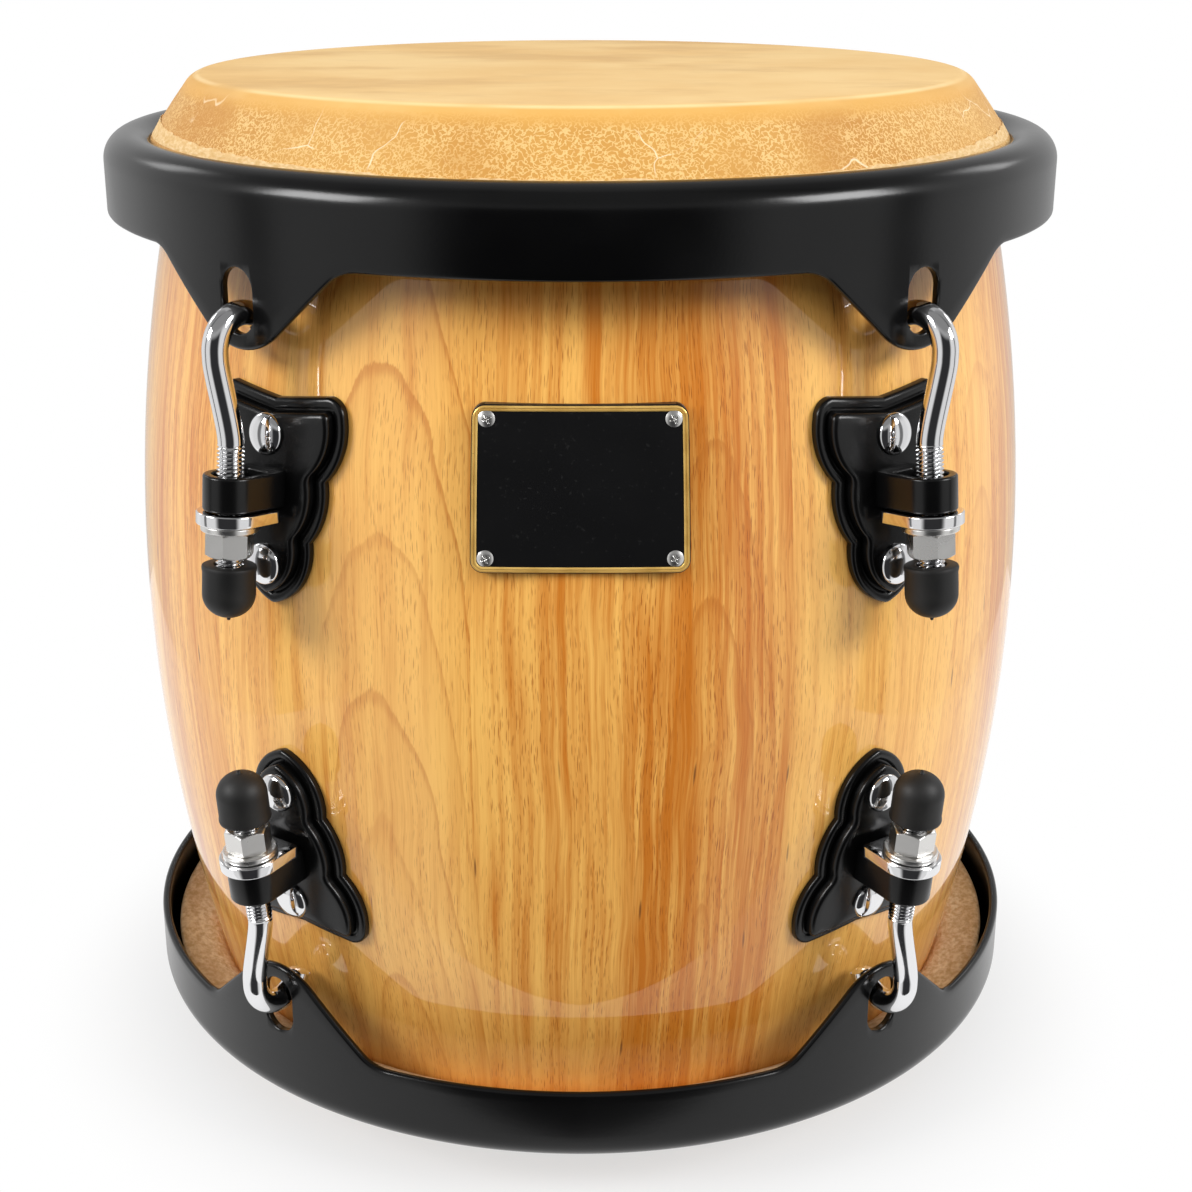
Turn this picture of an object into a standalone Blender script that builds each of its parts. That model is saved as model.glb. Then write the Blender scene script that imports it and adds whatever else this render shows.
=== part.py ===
"""Barrel hand drum with a rawhide head at each end.

A stave-built wooden barrel has a rawhide head on both ends. Each head is wrapped
round a flesh hoop, and a rolled steel rim presses on that hoop. Hooks through the
rim's slotted ears run down to loops on the barrel's side plates, where flanged nuts
pull them tight. Lengths are in metres, and the drum stands on its lower head with
its axis on +Z and its front facing -Y.
"""

import math

import bmesh
import bpy
from mathutils import Matrix, Vector

# Wooden barrel
DRUM_HEIGHT = 0.355         # over the playing faces of both heads
BELLY_RADIUS = 0.1607       # outside of the staves at mid height
END_RADIUS = 0.1344         # outside of the staves at the bearing edges
STAVE_THICKNESS = 0.012
BEARING_ROUND = 0.009       # rounding of the outer bearing edge

# Rawhide heads and flesh hoops
FIT_GAP = 0.0003            # air between pieces that touch
SKIN_THICKNESS = 0.0016
HOOP_WIRE_RADIUS = 0.0037
HOOP_DEPTH = 0.0263         # from the playing face to the hoop's centre
HOOP_PLAY = 0.0009          # air between the hoop and the barrel
TUCK_ANGLE = -110           # where the skin ends on the hoop, in degrees

# Steel rims
RIM_WALL = 0.003
RIM_EDGE_DEPTH = 0.0452     # from the playing face to the band's plain edge
RIM_LIP_ANGLE = 140         # how far the crest rolls in, in degrees
RIM_SEAT_ANGLE = 55         # where the lip bears on the hoop, in degrees
EAR_DROP = 0.027            # from the plain edge to an ear's tip
EAR_HALF_WIDTH = 0.039      # at the plain edge, before the fillet
EAR_TIP_RADIUS = 0.022
EAR_FILLET_RADIUS = 0.015
SLOT_HEADROOM = 0.0020      # steel between the plain edge's height and the slot
SLOT_FLOOR = 0.0050         # steel between the slot and the ear's tip
SLOT_SIDE_GAP = 0.0025      # air on each side of the hook in its slot

# Lugs and rim ears round the drum, in degrees from the front
FRONT_LUG_ANGLE = 36.3
FRONT_EAR_ANGLE = 38.4      # the front hooks swing sideways to their ears
SIDE_LUG_ANGLE = 115.5
BACK_LUG_ANGLE = 180.0

# Tuning hooks
HOOK_RADIUS = 0.0040        # plain rod
THREAD_RADIUS = 0.0042
HOOK_OUTER_GAP = 0.0071     # from the ear's outer face to the rod
HOOK_INNER_GAP = 0.0026     # from the ear's inner face to the rod
HOOK_SHELL_GAP = 0.0011     # from a full turn of the hook to the barrel
HOOK_TURN = 175             # degrees that the hook bends through
HOOK_SIDE_SHIFT = 0.0016    # how far a front hook sits to its lug's side of the slot
HOOK_STRAIGHT = 0.002       # straight leg between the bend and the offset
THREAD_START = 0.020        # along the rod from the side plate's middle
THREAD_RUN_OUT = 0.001      # from the plain rod to the full thread

# Side plates, gaskets and hook loops
PLATE_DEPTH = 0.1192        # from the playing face to the plate's middle
GASKET_THICKNESS = 0.0025
PLATE_THICKNESS = 0.0035
PLATE_SHOULDER = 0.004      # how far the raised plate is set in from the gasket
PLATE_DIP = (0.0, 0.0318)
PLATE_HORN = (0.0205, 0.0343)
PLATE_CORNER = (0.0263, 0.0285)
PLATE_UPPER_NOTCH = (0.0200, 0.0083)
PLATE_LOWER_NOTCH = (0.0145, -0.0115)
PLATE_TIP = (0.0, -0.0331)
HORN_SWELL = 0.0015
WING_SWELL = 0.0027
WAIST_SWELL = 0.0023
TAIL_SWELL = 0.0050
LOOP_WALL = 0.0031
LOOP_HOLE_GAP = 0.001       # air round the thread in the loop
LOOP_HEIGHT = 0.011
LOOP_LIFT = 0.0049          # loop's middle above the plate's middle

# Washers, nuts and caps
WASHER_RADIUS = 0.0102
WASHER_THICKNESS = 0.0038
WASHER_HOLE_GAP = 0.0006
WASHER_END_GAP = 0.0026     # from the washer's square end to the plate
FLANGE_RADIUS = 0.0088
FLANGE_THICKNESS = 0.002
NUT_ACROSS_FLATS = 0.013
NUT_HEIGHT = 0.008
NUT_BORE_GAP = 0.0005
LUG_AIR = 0.0056            # from the plate to the nut's flange
RIM_TRAVEL = 0.002          # how far a rim lifts before its caps reach the nuts
CAP_RADIUS = 0.0084
CAP_LENGTH = 0.0167
CAP_BORE_DEPTH = 0.0115
CAP_DOME_HEIGHT = 0.0075

# Name plate
BADGE_WIDTH = 0.0646
BADGE_HEIGHT = 0.050
BADGE_THICKNESS = 0.0015
BADGE_CORNER = 0.004
BADGE_DEPTH = 0.1076        # from the top playing face to the badge's middle

# Facets
ROUND_SEGMENTS = 36
SMALL_SEGMENTS = 8
HOOK_BEND_STEPS = 5
SLOT_ARC_STEPS = 4
LEAST_FACET = 2             # degrees between an ear's end and the next facet's edge
SHARP_ANGLE = 35            # degrees, edges sharper than this stay crisp
MERGE = 0.00001
CUT_MARGIN = 0.004          # how far a cutter runs past what it cuts

# Heights are measured from mid height, as if for the upper end
HALF_HEIGHT = DRUM_HEIGHT / 2
SHELL_HALF = HALF_HEIGHT - SKIN_THICKNESS - FIT_GAP
LUGS = (FRONT_LUG_ANGLE, SIDE_LUG_ANGLE, BACK_LUG_ANGLE, -SIDE_LUG_ANGLE, -FRONT_LUG_ANGLE)
EARS = (FRONT_EAR_ANGLE, SIDE_LUG_ANGLE, BACK_LUG_ANGLE, -SIDE_LUG_ANGLE, -FRONT_EAR_ANGLE)
ENDS = {"top": 1, "bottom": -1}


def barrel_radius(height):
    """Outside radius of the staves, a parabola from belly to bearing edge."""
    return BELLY_RADIUS - (BELLY_RADIUS - END_RADIUS) * (height / SHELL_HALF) ** 2


def barrel_lean(height):
    """Angle in radians between the barrel's surface and the vertical."""
    return math.atan(2 * (BELLY_RADIUS - END_RADIUS) * height / SHELL_HALF ** 2)


def clear_radius(radius, sides):
    """Corner radius of a polygon whose flats keep clear of a round of this radius."""
    return radius / math.cos(math.pi / sides)


# Seats that follow from the driving dimensions
HOOP_HEIGHT = HALF_HEIGHT - HOOP_DEPTH
HOOP_CENTRE = barrel_radius(HOOP_HEIGHT) + HOOP_PLAY + HOOP_WIRE_RADIUS
WRAP_MIDDLE = HOOP_WIRE_RADIUS + FIT_GAP + SKIN_THICKNESS / 2
WRAP_OUTSIDE = WRAP_MIDDLE + SKIN_THICKNESS / 2

RIM_EDGE = HALF_HEIGHT - RIM_EDGE_DEPTH
EAR_TIP = RIM_EDGE - EAR_DROP
SLOT_LOW = EAR_TIP + SLOT_FLOOR
SLOT_HIGH = RIM_EDGE - SLOT_HEADROOM
HOOK_SPACE = HOOK_SHELL_GAP + 2 * HOOK_RADIUS + HOOK_INNER_GAP
RIM_RADIUS = barrel_radius(SLOT_LOW) + HOOK_SPACE + RIM_WALL

HOOK_LEG = RIM_RADIUS + HOOK_OUTER_GAP + HOOK_RADIUS
HOOK_BEND = (HOOK_OUTER_GAP + RIM_WALL + HOOK_INNER_GAP) / 2 + HOOK_RADIUS
HOOK_CENTRE = HOOK_LEG - HOOK_BEND

PLATE_MIDDLE = HALF_HEIGHT - PLATE_DEPTH
PLATE_LEAN = barrel_lean(PLATE_MIDDLE)
PLATE_FACE = FIT_GAP + GASKET_THICKNESS + PLATE_THICKNESS
ROD_STANDOFF = PLATE_FACE + LUG_AIR + FLANGE_RADIUS
LOOP_BOTTOM = LOOP_LIFT - LOOP_HEIGHT / 2
WASHER_TOP = LOOP_BOTTOM - FIT_GAP
NUT_TOP = WASHER_TOP - WASHER_THICKNESS - FIT_GAP
NUT_BOTTOM = NUT_TOP - FLANGE_THICKNESS - NUT_HEIGHT
CAP_TOP = NUT_BOTTOM - RIM_TRAVEL - 2 * FIT_GAP
ROD_END = CAP_TOP - CAP_BORE_DEPTH + FIT_GAP

# The plate's own frame: X out of the barrel, Z along its surface towards the head
PLATE_FRAME = (Matrix.Translation((barrel_radius(PLATE_MIDDLE), 0, PLATE_MIDDLE))
               @ Matrix.Rotation(-PLATE_LEAN, 4, "Y"))
ROD_FRAME = PLATE_FRAME @ Matrix.Translation((ROD_STANDOFF, 0, 0))


def arc(centre, radius, start, stop, steps):
    """Points on a circle from one angle to another, in degrees."""
    angles = [math.radians(start + (stop - start) * i / steps) for i in range(steps + 1)]
    return [(centre[0] + radius * math.cos(a), centre[1] + radius * math.sin(a)) for a in angles]


def swell(start, stop, sagitta, steps):
    """Points after the start of a circular arc that swells to the left of its run."""
    start, stop = Vector(start), Vector(stop)
    run = (stop - start).normalized()
    left = Vector((-run.y, run.x))
    half_chord = (stop - start).length / 2
    half_angle = 2 * math.atan(sagitta / half_chord)
    radius = half_chord / math.sin(half_angle)
    centre = (start + stop) / 2 + left * (sagitta - radius)
    turns = [half_angle * (2 * i / steps - 1) for i in range(1, steps + 1)]
    return [tuple(centre + radius * (left * math.cos(t) + run * math.sin(t))) for t in turns]


def scratch_object(data):
    """A short-lived object for a mesh or curve that still has to be evaluated."""
    piece = bpy.data.objects.new("scratch", data)
    bpy.context.scene.collection.objects.link(piece)
    return piece


def baked(piece):
    """Closed mesh of an object as its modifiers or bevel make it; the object is removed."""
    evaluated = piece.evaluated_get(bpy.context.evaluated_depsgraph_get())
    mesh = bpy.data.meshes.new_from_object(evaluated)
    bpy.data.objects.remove(piece)
    tidy = bmesh.new()
    tidy.from_mesh(mesh)
    bmesh.ops.remove_doubles(tidy, verts=tidy.verts, dist=MERGE)
    bmesh.ops.recalc_face_normals(tidy, faces=tidy.faces)
    tidy.to_mesh(mesh)
    tidy.free()
    return mesh


def turned(profile, segments, closed=True):
    """Solid of revolution about Z from points of radius and height."""
    mesh = bpy.data.meshes.new("profile")
    edges = [(i, i + 1) for i in range(len(profile) - 1)]
    if closed:
        edges.append((len(profile) - 1, 0))
    mesh.from_pydata([(radius, 0, height) for radius, height in profile], edges, [])
    piece = scratch_object(mesh)
    screw = piece.modifiers.new("Turn", "SCREW")
    screw.steps = segments
    screw.render_steps = segments
    screw.use_merge_vertices = True
    screw.merge_threshold = MERGE
    return baked(piece)


def flat_solid(loops, thickness):
    """Flat plate of an outline and its holes, from z = 0 up."""
    curve = bpy.data.curves.new("outline", "CURVE")
    curve.dimensions = "2D"
    curve.fill_mode = "BOTH"
    curve.extrude = thickness / 2
    for loop in loops:
        spline = curve.splines.new("POLY")
        spline.points.add(len(loop) - 1)
        for point, (x, y) in zip(spline.points, loop):
            point.co = (x, y, 0, 1)
        spline.use_cyclic_u = True
    mesh = baked(scratch_object(curve))
    mesh.transform(Matrix.Translation((0, 0, thickness / 2)))
    return mesh


def combined(mesh, other, operation):
    """Mesh of two solids after a Boolean."""
    piece = scratch_object(mesh)
    tool = scratch_object(other)
    boolean = piece.modifiers.new(operation.title(), "BOOLEAN")
    boolean.operation = operation
    boolean.solver = "EXACT"
    boolean.object = tool
    result = baked(piece)
    bpy.data.objects.remove(tool)
    return result


def gathered(mesh, matrices):
    """One mesh that holds a copy of a solid at each placing."""
    group = bmesh.new()
    for matrix in matrices:
        copy = mesh.copy()
        copy.transform(matrix)
        group.from_mesh(copy)
    result = bpy.data.meshes.new("group")
    group.to_mesh(result)
    group.free()
    return result


def station_matrix(angle):
    """Turns +X to the outward direction at an angle from the front."""
    return Matrix.Rotation(math.radians(angle - 90), 4, "Z")


def bearing_edge():
    """Centre of the bearing edge's round, and the height and lean where it meets the side."""
    height = SHELL_HALF - BEARING_ROUND
    lean = barrel_lean(height)
    tangent_height = height + BEARING_ROUND * math.sin(lean)
    radius = barrel_radius(tangent_height) - BEARING_ROUND * math.cos(lean)
    return Vector((radius, height)), tangent_height, math.degrees(lean)


def barrel_mesh():
    """The hollow barrel, with rounded bearing edges at both ends."""
    centre, tangent_height, lean = bearing_edge()
    top_edge = arc(centre, BEARING_ROUND, 90, lean, 2)
    steps = 8
    heights = [tangent_height * (1 - 2 * i / steps) for i in range(1, steps)]
    outside = [(barrel_radius(h), h) for h in heights]
    bottom_edge = [(radius, -height) for radius, height in reversed(top_edge)]
    inner_steps = 4
    levels = [SHELL_HALF * (2 * i / inner_steps - 1) for i in range(inner_steps + 1)]
    inside = [(barrel_radius(h) - STAVE_THICKNESS, h) for h in levels]
    return turned(top_edge + outside + bottom_edge + inside, ROUND_SEGMENTS)


def skin_mesh():
    """A head: flat, over the bearing edge, straight out to the hoop and round it."""
    edge, _, _ = bearing_edge()
    hoop = Vector((HOOP_CENTRE, HOOP_HEIGHT))
    bend = BEARING_ROUND + FIT_GAP + SKIN_THICKNESS / 2
    run = hoop - edge
    collar_normal = math.degrees(math.atan2(run.y, run.x) + math.acos((bend - WRAP_MIDDLE) / run.length))

    def layer(side):
        """Points of the outer or inner face, from the axis to the tuck."""
        shift = side * SKIN_THICKNESS / 2
        points = [(0, HALF_HEIGHT - SKIN_THICKNESS / 2 + shift)]
        points += arc(edge, bend + shift, 90, collar_normal, 3)
        return points + arc(hoop, WRAP_MIDDLE + shift, collar_normal, TUCK_ANGLE, 4)

    return turned(layer(1) + layer(-1)[::-1], ROUND_SEGMENTS, closed=False)


def hoop_mesh():
    """The round steel wire inside a head's wrapped edge."""
    ring = arc((HOOP_CENTRE, HOOP_HEIGHT), HOOP_WIRE_RADIUS, 0, -360, 5)[:-1]
    return turned(ring, ROUND_SEGMENTS)


def ear_edge():
    """Half of an ear's edge: distance from its middle and height, from tip to band."""
    slope = (math.atan2(EAR_DROP - EAR_TIP_RADIUS, EAR_HALF_WIDTH)
             + math.asin(EAR_TIP_RADIUS / math.hypot(EAR_HALF_WIDTH, EAR_DROP - EAR_TIP_RADIUS)))
    degrees = math.degrees(slope)
    tip = arc((0, EAR_TIP + EAR_TIP_RADIUS), EAR_TIP_RADIUS, -90, degrees - 90, 3)
    run_out = EAR_FILLET_RADIUS * math.tan(slope / 2)
    fillet_centre = (EAR_HALF_WIDTH + run_out, RIM_EDGE - EAR_FILLET_RADIUS)
    fillet = arc(fillet_centre, EAR_FILLET_RADIUS, degrees + 90, 90, 2)
    return tip + fillet


def ear_cutter():
    """Ring that takes away the band below its scalloped edge."""
    radius = RIM_RADIUS - RIM_WALL / 2
    half = ear_edge()
    span = math.degrees(half[-1][0] / RIM_RADIUS)
    columns = []
    for ear in EARS:
        for side in (-1, 1):
            columns += [(ear + side * math.degrees(along / RIM_RADIUS), height)
                        for along, height in half[side < 0:]]
    for i in range(ROUND_SEGMENTS):
        angle = 360 * i / ROUND_SEGMENTS - 180
        apart = min(abs((angle - ear + 180) % 360 - 180) for ear in EARS)
        if apart > span + LEAST_FACET:
            columns.append((angle, RIM_EDGE))
    columns.sort(key=lambda column: (column[0] + 180) % 360)

    sheet = bmesh.new()
    ring = []
    for angle, height in columns:
        ring.append(sheet.verts.new(station_matrix(angle) @ Vector((radius, 0, height))))
    edges = [sheet.edges.new((ring[i - 1], ring[i])) for i in range(len(ring))]
    extruded = bmesh.ops.extrude_edge_only(sheet, edges=edges)
    for element in extruded["geom"]:
        if isinstance(element, bmesh.types.BMVert):
            element.co.z = EAR_TIP - 2 * CUT_MARGIN
    mesh = bpy.data.meshes.new("ear_cutter")
    sheet.to_mesh(mesh)
    sheet.free()
    piece = scratch_object(mesh)
    wall = piece.modifiers.new("Wall", "SOLIDIFY")
    wall.thickness = RIM_WALL + 2 * CUT_MARGIN
    wall.offset = 0
    return baked(piece)


def slot_cutter():
    """Upright stadium through the rim's wall at one ear, X outward."""
    radius = HOOK_RADIUS + SLOT_SIDE_GAP
    lower = arc((0, SLOT_LOW + radius), radius, -180, 0, SLOT_ARC_STEPS)
    upper = arc((0, SLOT_HIGH - radius), radius, 0, 180, SLOT_ARC_STEPS)
    depth = RIM_WALL + 2 * CUT_MARGIN
    mesh = flat_solid([lower + upper], depth)
    upright = Matrix(((0, 0, 1, 0), (1, 0, 0, 0), (0, 1, 0, 0), (0, 0, 0, 1)))
    mesh.transform(Matrix.Translation((RIM_RADIUS - RIM_WALL - CUT_MARGIN, 0, 0)) @ upright)
    return mesh


def rim_mesh():
    """A spun band with a rolled crest, cut to its ears and slotted for the hooks."""
    seat = math.radians(RIM_SEAT_ANGLE)
    lip_radius = HOOP_CENTRE + (WRAP_OUTSIDE + FIT_GAP) * math.cos(seat)
    lip_height = HOOP_HEIGHT + (WRAP_OUTSIDE + FIT_GAP) * math.sin(seat)
    roll = (RIM_RADIUS - lip_radius) / (1 - math.cos(math.radians(RIM_LIP_ANGLE)))
    centre = (RIM_RADIUS - roll, lip_height - roll * math.sin(math.radians(RIM_LIP_ANGLE)))
    foot = EAR_TIP - CUT_MARGIN
    outside = arc(centre, roll, RIM_LIP_ANGLE, 0, 5) + [(RIM_RADIUS, foot)]
    inside = [(RIM_RADIUS - RIM_WALL, foot)] + arc(centre, roll - RIM_WALL, 0, RIM_LIP_ANGLE, 4)
    band = turned(outside + inside, ROUND_SEGMENTS)
    eared = combined(band, ear_cutter(), "DIFFERENCE")
    slots = gathered(slot_cutter(), [station_matrix(angle) for angle in EARS])
    return combined(eared, slots, "DIFFERENCE")


def hook_seat(lug, ear):
    """Degrees from a lug to its hook's bend, and how far the bend rides up its slot's round end."""
    if ear == lug:
        return 0, 0
    shift = math.copysign(HOOK_SIDE_SHIFT, ear - lug)
    slot_flat = (HOOK_RADIUS + SLOT_SIDE_GAP) * math.cos(math.pi / (2 * SLOT_ARC_STEPS))
    lift = SLOT_SIDE_GAP - math.sqrt((slot_flat - HOOK_RADIUS) ** 2 - shift ** 2)
    return ear - lug - math.degrees(shift / RIM_RADIUS), lift


def hook_path(lead, lift):
    """A hook's middle line: bend and swinging leg, then thread; X points out at its lug.

    The bend lies square to the rim, further round than the lug by the lead.
    """
    facet = math.radians(HOOK_TURN / HOOK_BEND_STEPS)
    inner_bend = HOOK_BEND * math.cos(facet / 2) - HOOK_RADIUS
    to_wall = HOOK_CENTRE - (RIM_RADIUS - RIM_WALL)
    bend_height = SLOT_LOW + FIT_GAP + lift - math.sqrt(inner_bend ** 2 - to_wall ** 2)
    flat = arc((HOOK_CENTRE, bend_height), HOOK_BEND, HOOK_TURN, 0, HOOK_BEND_STEPS)
    flat.append((HOOK_LEG, bend_height - HOOK_STRAIGHT))
    to_ear = Matrix.Rotation(math.radians(lead), 4, "Z")
    plain = [to_ear @ Vector((radius, 0, height)) for radius, height in flat]
    start = plain.pop()
    stop = ROD_FRAME @ Vector((0, 0, THREAD_START))
    length = (stop - start).length
    start_run = Vector((0, 0, -length))
    stop_run = length * Vector((math.sin(PLATE_LEAN), 0, -math.cos(PLATE_LEAN)))
    steps = 3
    for i in range(steps + 1):
        t = i / steps
        plain.append((2 * t ** 3 - 3 * t ** 2 + 1) * start + (t ** 3 - 2 * t ** 2 + t) * start_run
                     + (3 * t ** 2 - 2 * t ** 3) * stop + (t ** 3 - t ** 2) * stop_run)
    threaded = [ROD_FRAME @ Vector((0, 0, s)) for s in (THREAD_START - THREAD_RUN_OUT, ROD_END)]
    return plain, threaded


def hook_mesh(lead, lift):
    """A bent rod whose leg is thicker where it is threaded."""
    plain, threaded = hook_path(lead, lift)
    curve = bpy.data.curves.new("hook", "CURVE")
    curve.dimensions = "3D"
    curve.bevel_depth = THREAD_RADIUS
    curve.bevel_resolution = 2
    curve.use_fill_caps = True
    spline = curve.splines.new("POLY")
    points = plain + threaded
    spline.points.add(len(points) - 1)
    for i, point in enumerate(points):
        spline.points[i].co = (*point, 1)
        spline.points[i].radius = HOOK_RADIUS / THREAD_RADIUS if i < len(plain) else 1
    return baked(scratch_object(curve))


def nut_mesh():
    """Hex nut with a round flange on top, on its own axis; z = 0 is the flange's face."""
    bore = clear_radius(THREAD_RADIUS + NUT_BORE_GAP, SMALL_SEGMENTS)
    corner = clear_radius(NUT_ACROSS_FLATS / 2, 6)
    flange = flat_solid([arc((0, 0), FLANGE_RADIUS, 0, 360, 12)[:-1]], FLANGE_THICKNESS)
    flange.transform(Matrix.Translation((0, 0, -FLANGE_THICKNESS)))
    body_height = NUT_HEIGHT + FLANGE_THICKNESS / 2
    body = flat_solid([arc((0, 0), corner, 0, 360, 6)[:-1]], body_height)
    body.transform(Matrix.Translation((0, 0, -FLANGE_THICKNESS - NUT_HEIGHT)))
    hole_height = NUT_HEIGHT + FLANGE_THICKNESS + 2 * CUT_MARGIN
    hole = flat_solid([arc((0, 0), bore, 0, 360, SMALL_SEGMENTS)[:-1]], hole_height)
    hole.transform(Matrix.Translation((0, 0, -hole_height + CUT_MARGIN)))
    return combined(combined(flange, body, "UNION"), hole, "DIFFERENCE")


def washer_mesh():
    """D-shaped washer whose square end keeps it from turning; the rod is its z axis."""
    square_end = -(ROD_STANDOFF - PLATE_FACE - WASHER_END_GAP)
    outline = arc((0, 0), WASHER_RADIUS, -90, 90, 5)
    outline += [(square_end, WASHER_RADIUS), (square_end, -WASHER_RADIUS)]
    bore = clear_radius(THREAD_RADIUS + WASHER_HOLE_GAP, SMALL_SEGMENTS)
    hole = arc((0, 0), bore, 0, 360, SMALL_SEGMENTS)[:-1]
    mesh = flat_solid([outline, hole], WASHER_THICKNESS)
    mesh.transform(Matrix.Translation((0, 0, -WASHER_THICKNESS)))
    return mesh


def cap_mesh():
    """Rubber end cap with a blind bore and a domed end; z = 0 is its open face."""
    bore = clear_radius(THREAD_RADIUS + FIT_GAP, SMALL_SEGMENTS)
    dome_top = CAP_DOME_HEIGHT - CAP_LENGTH
    dome = [(CAP_RADIUS * x, dome_top + CAP_DOME_HEIGHT * y) for x, y in arc((0, 0), 1, 0, -90, 3)]
    dome[-1] = (0, -CAP_LENGTH)
    profile = [(0, -CAP_BORE_DEPTH), (bore, -CAP_BORE_DEPTH), (bore, 0), (CAP_RADIUS, 0)]
    return turned(profile + dome, SMALL_SEGMENTS, closed=False)


def plate_outline():
    """The plate's scalloped outline, clockwise from its dip towards the head."""
    right = [PLATE_DIP, PLATE_HORN]
    right += swell(PLATE_HORN, PLATE_CORNER, HORN_SWELL, 1)
    right += swell(PLATE_CORNER, PLATE_UPPER_NOTCH, WING_SWELL, 2)
    right += swell(PLATE_UPPER_NOTCH, PLATE_LOWER_NOTCH, WAIST_SWELL, 2)
    right += swell(PLATE_LOWER_NOTCH, PLATE_TIP, TAIL_SWELL, 3)
    left = [(-x, y) for x, y in right[-2:0:-1]]
    return right + left


def laid_on_barrel(outline, thickness, middle, cuts, shoulder=None):
    """A plate of a flat outline, bent to the barrel with its middle at a height.

    The outline is in distances round and along the barrel. A shoulder of width and
    rise makes a raised face inside the outline.
    """
    plate = bmesh.new()
    rim = [plate.verts.new((x, y, 0)) for x, y in outline]
    base = bmesh.ops.contextual_create(plate, geom=rim)["faces"]
    grown = bmesh.ops.extrude_face_region(plate, geom=base)["geom"]
    raised = [element for element in grown if isinstance(element, bmesh.types.BMVert)]
    bmesh.ops.translate(plate, verts=raised, vec=(0, 0, thickness))
    bmesh.ops.recalc_face_normals(plate, faces=plate.faces)
    if shoulder:
        top = [element for element in grown if isinstance(element, bmesh.types.BMFace)]
        width, rise = shoulder
        bmesh.ops.inset_region(plate, faces=top, thickness=width, depth=rise, use_even_offset=True)
    for axis, places in enumerate(cuts):
        normal = Vector((axis == 0, axis == 1, 0))
        for place in places:
            everything = plate.verts[:] + plate.edges[:] + plate.faces[:]
            bmesh.ops.bisect_plane(plate, geom=everything, plane_co=normal * place, plane_no=normal)
    for vert in plate.verts:
        height = middle + vert.co.y
        radius = barrel_radius(height) + FIT_GAP + vert.co.z
        turn = vert.co.x / barrel_radius(middle)
        vert.co = (radius * math.cos(turn), radius * math.sin(turn), height)
    bmesh.ops.triangulate(plate, faces=[face for face in plate.faces if len(face.verts) > 4])
    bmesh.ops.recalc_face_normals(plate, faces=plate.faces)
    mesh = bpy.data.meshes.new("plate")
    plate.to_mesh(mesh)
    plate.free()
    return mesh


def side_plate_mesh():
    """Gasket lip, raised scalloped plate and the loop that the hook passes through."""
    across = PLATE_CORNER[0] / 2
    along = PLATE_HORN[1] / 3
    cuts = ((-across, 0, across), (-along, along))
    shoulder = (PLATE_SHOULDER, PLATE_THICKNESS)
    plate = laid_on_barrel(plate_outline(), GASKET_THICKNESS, PLATE_MIDDLE, cuts, shoulder)
    hole_radius = THREAD_RADIUS + LOOP_HOLE_GAP
    loop_radius = hole_radius + LOOP_WALL
    root = FIT_GAP + GASKET_THICKNESS - ROD_STANDOFF
    inner_end = PLATE_FACE + LOOP_WALL - ROD_STANDOFF
    outline = arc((0, 0), loop_radius, -90, 90, 5) + [(root, loop_radius), (root, -loop_radius)]
    hole = arc((0, 0), hole_radius, -90, 90, 4) + [(inner_end, hole_radius), (inner_end, -hole_radius)]
    loop = flat_solid([outline, hole], LOOP_HEIGHT)
    loop.transform(ROD_FRAME @ Matrix.Translation((0, 0, LOOP_BOTTOM)))
    return combined(plate, loop, "UNION")


def badge_mesh():
    """Thin name plate with rounded corners, bent to the barrel's front."""
    x = BADGE_WIDTH / 2 - BADGE_CORNER
    y = BADGE_HEIGHT / 2 - BADGE_CORNER
    outline = []
    for turn, centre in ((0, (x, y)), (90, (-x, y)), (180, (-x, -y)), (270, (x, -y))):
        outline += arc(centre, BADGE_CORNER, turn, turn + 90, 2)
    across = BADGE_WIDTH / 4
    cuts = ((-across, 0, across), (-BADGE_HEIGHT / 6, BADGE_HEIGHT / 6))
    return laid_on_barrel(outline, BADGE_THICKNESS, HALF_HEIGHT - BADGE_DEPTH, cuts)


def finish(name, colour, roughness, metallic):
    """A Principled material."""
    material = bpy.data.materials.new(name)
    material.use_nodes = True
    shader = material.node_tree.nodes["Principled BSDF"]
    shader.inputs["Base Color"].default_value = (*colour, 1)
    shader.inputs["Roughness"].default_value = roughness
    shader.inputs["Metallic"].default_value = metallic
    return material


def dressed(mesh, material):
    """Gives a mesh its material and smooth shading between its sharp edges."""
    mesh.materials.clear()
    mesh.materials.append(material)
    mesh.shade_smooth()
    mesh.set_sharp_from_angle(angle=math.radians(SHARP_ANGLE))
    return mesh


def add_part(name, mesh, matrix, collection, carrier=None):
    """Puts a named piece in its place, carried by an empty if it moves."""
    part = bpy.data.objects.new(name, mesh)
    collection.objects.link(part)
    if carrier:
        part.parent = carrier
        part.matrix_parent_inverse = Matrix.Translation(-carrier.location)
    part.matrix_basis = matrix
    return part


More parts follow.
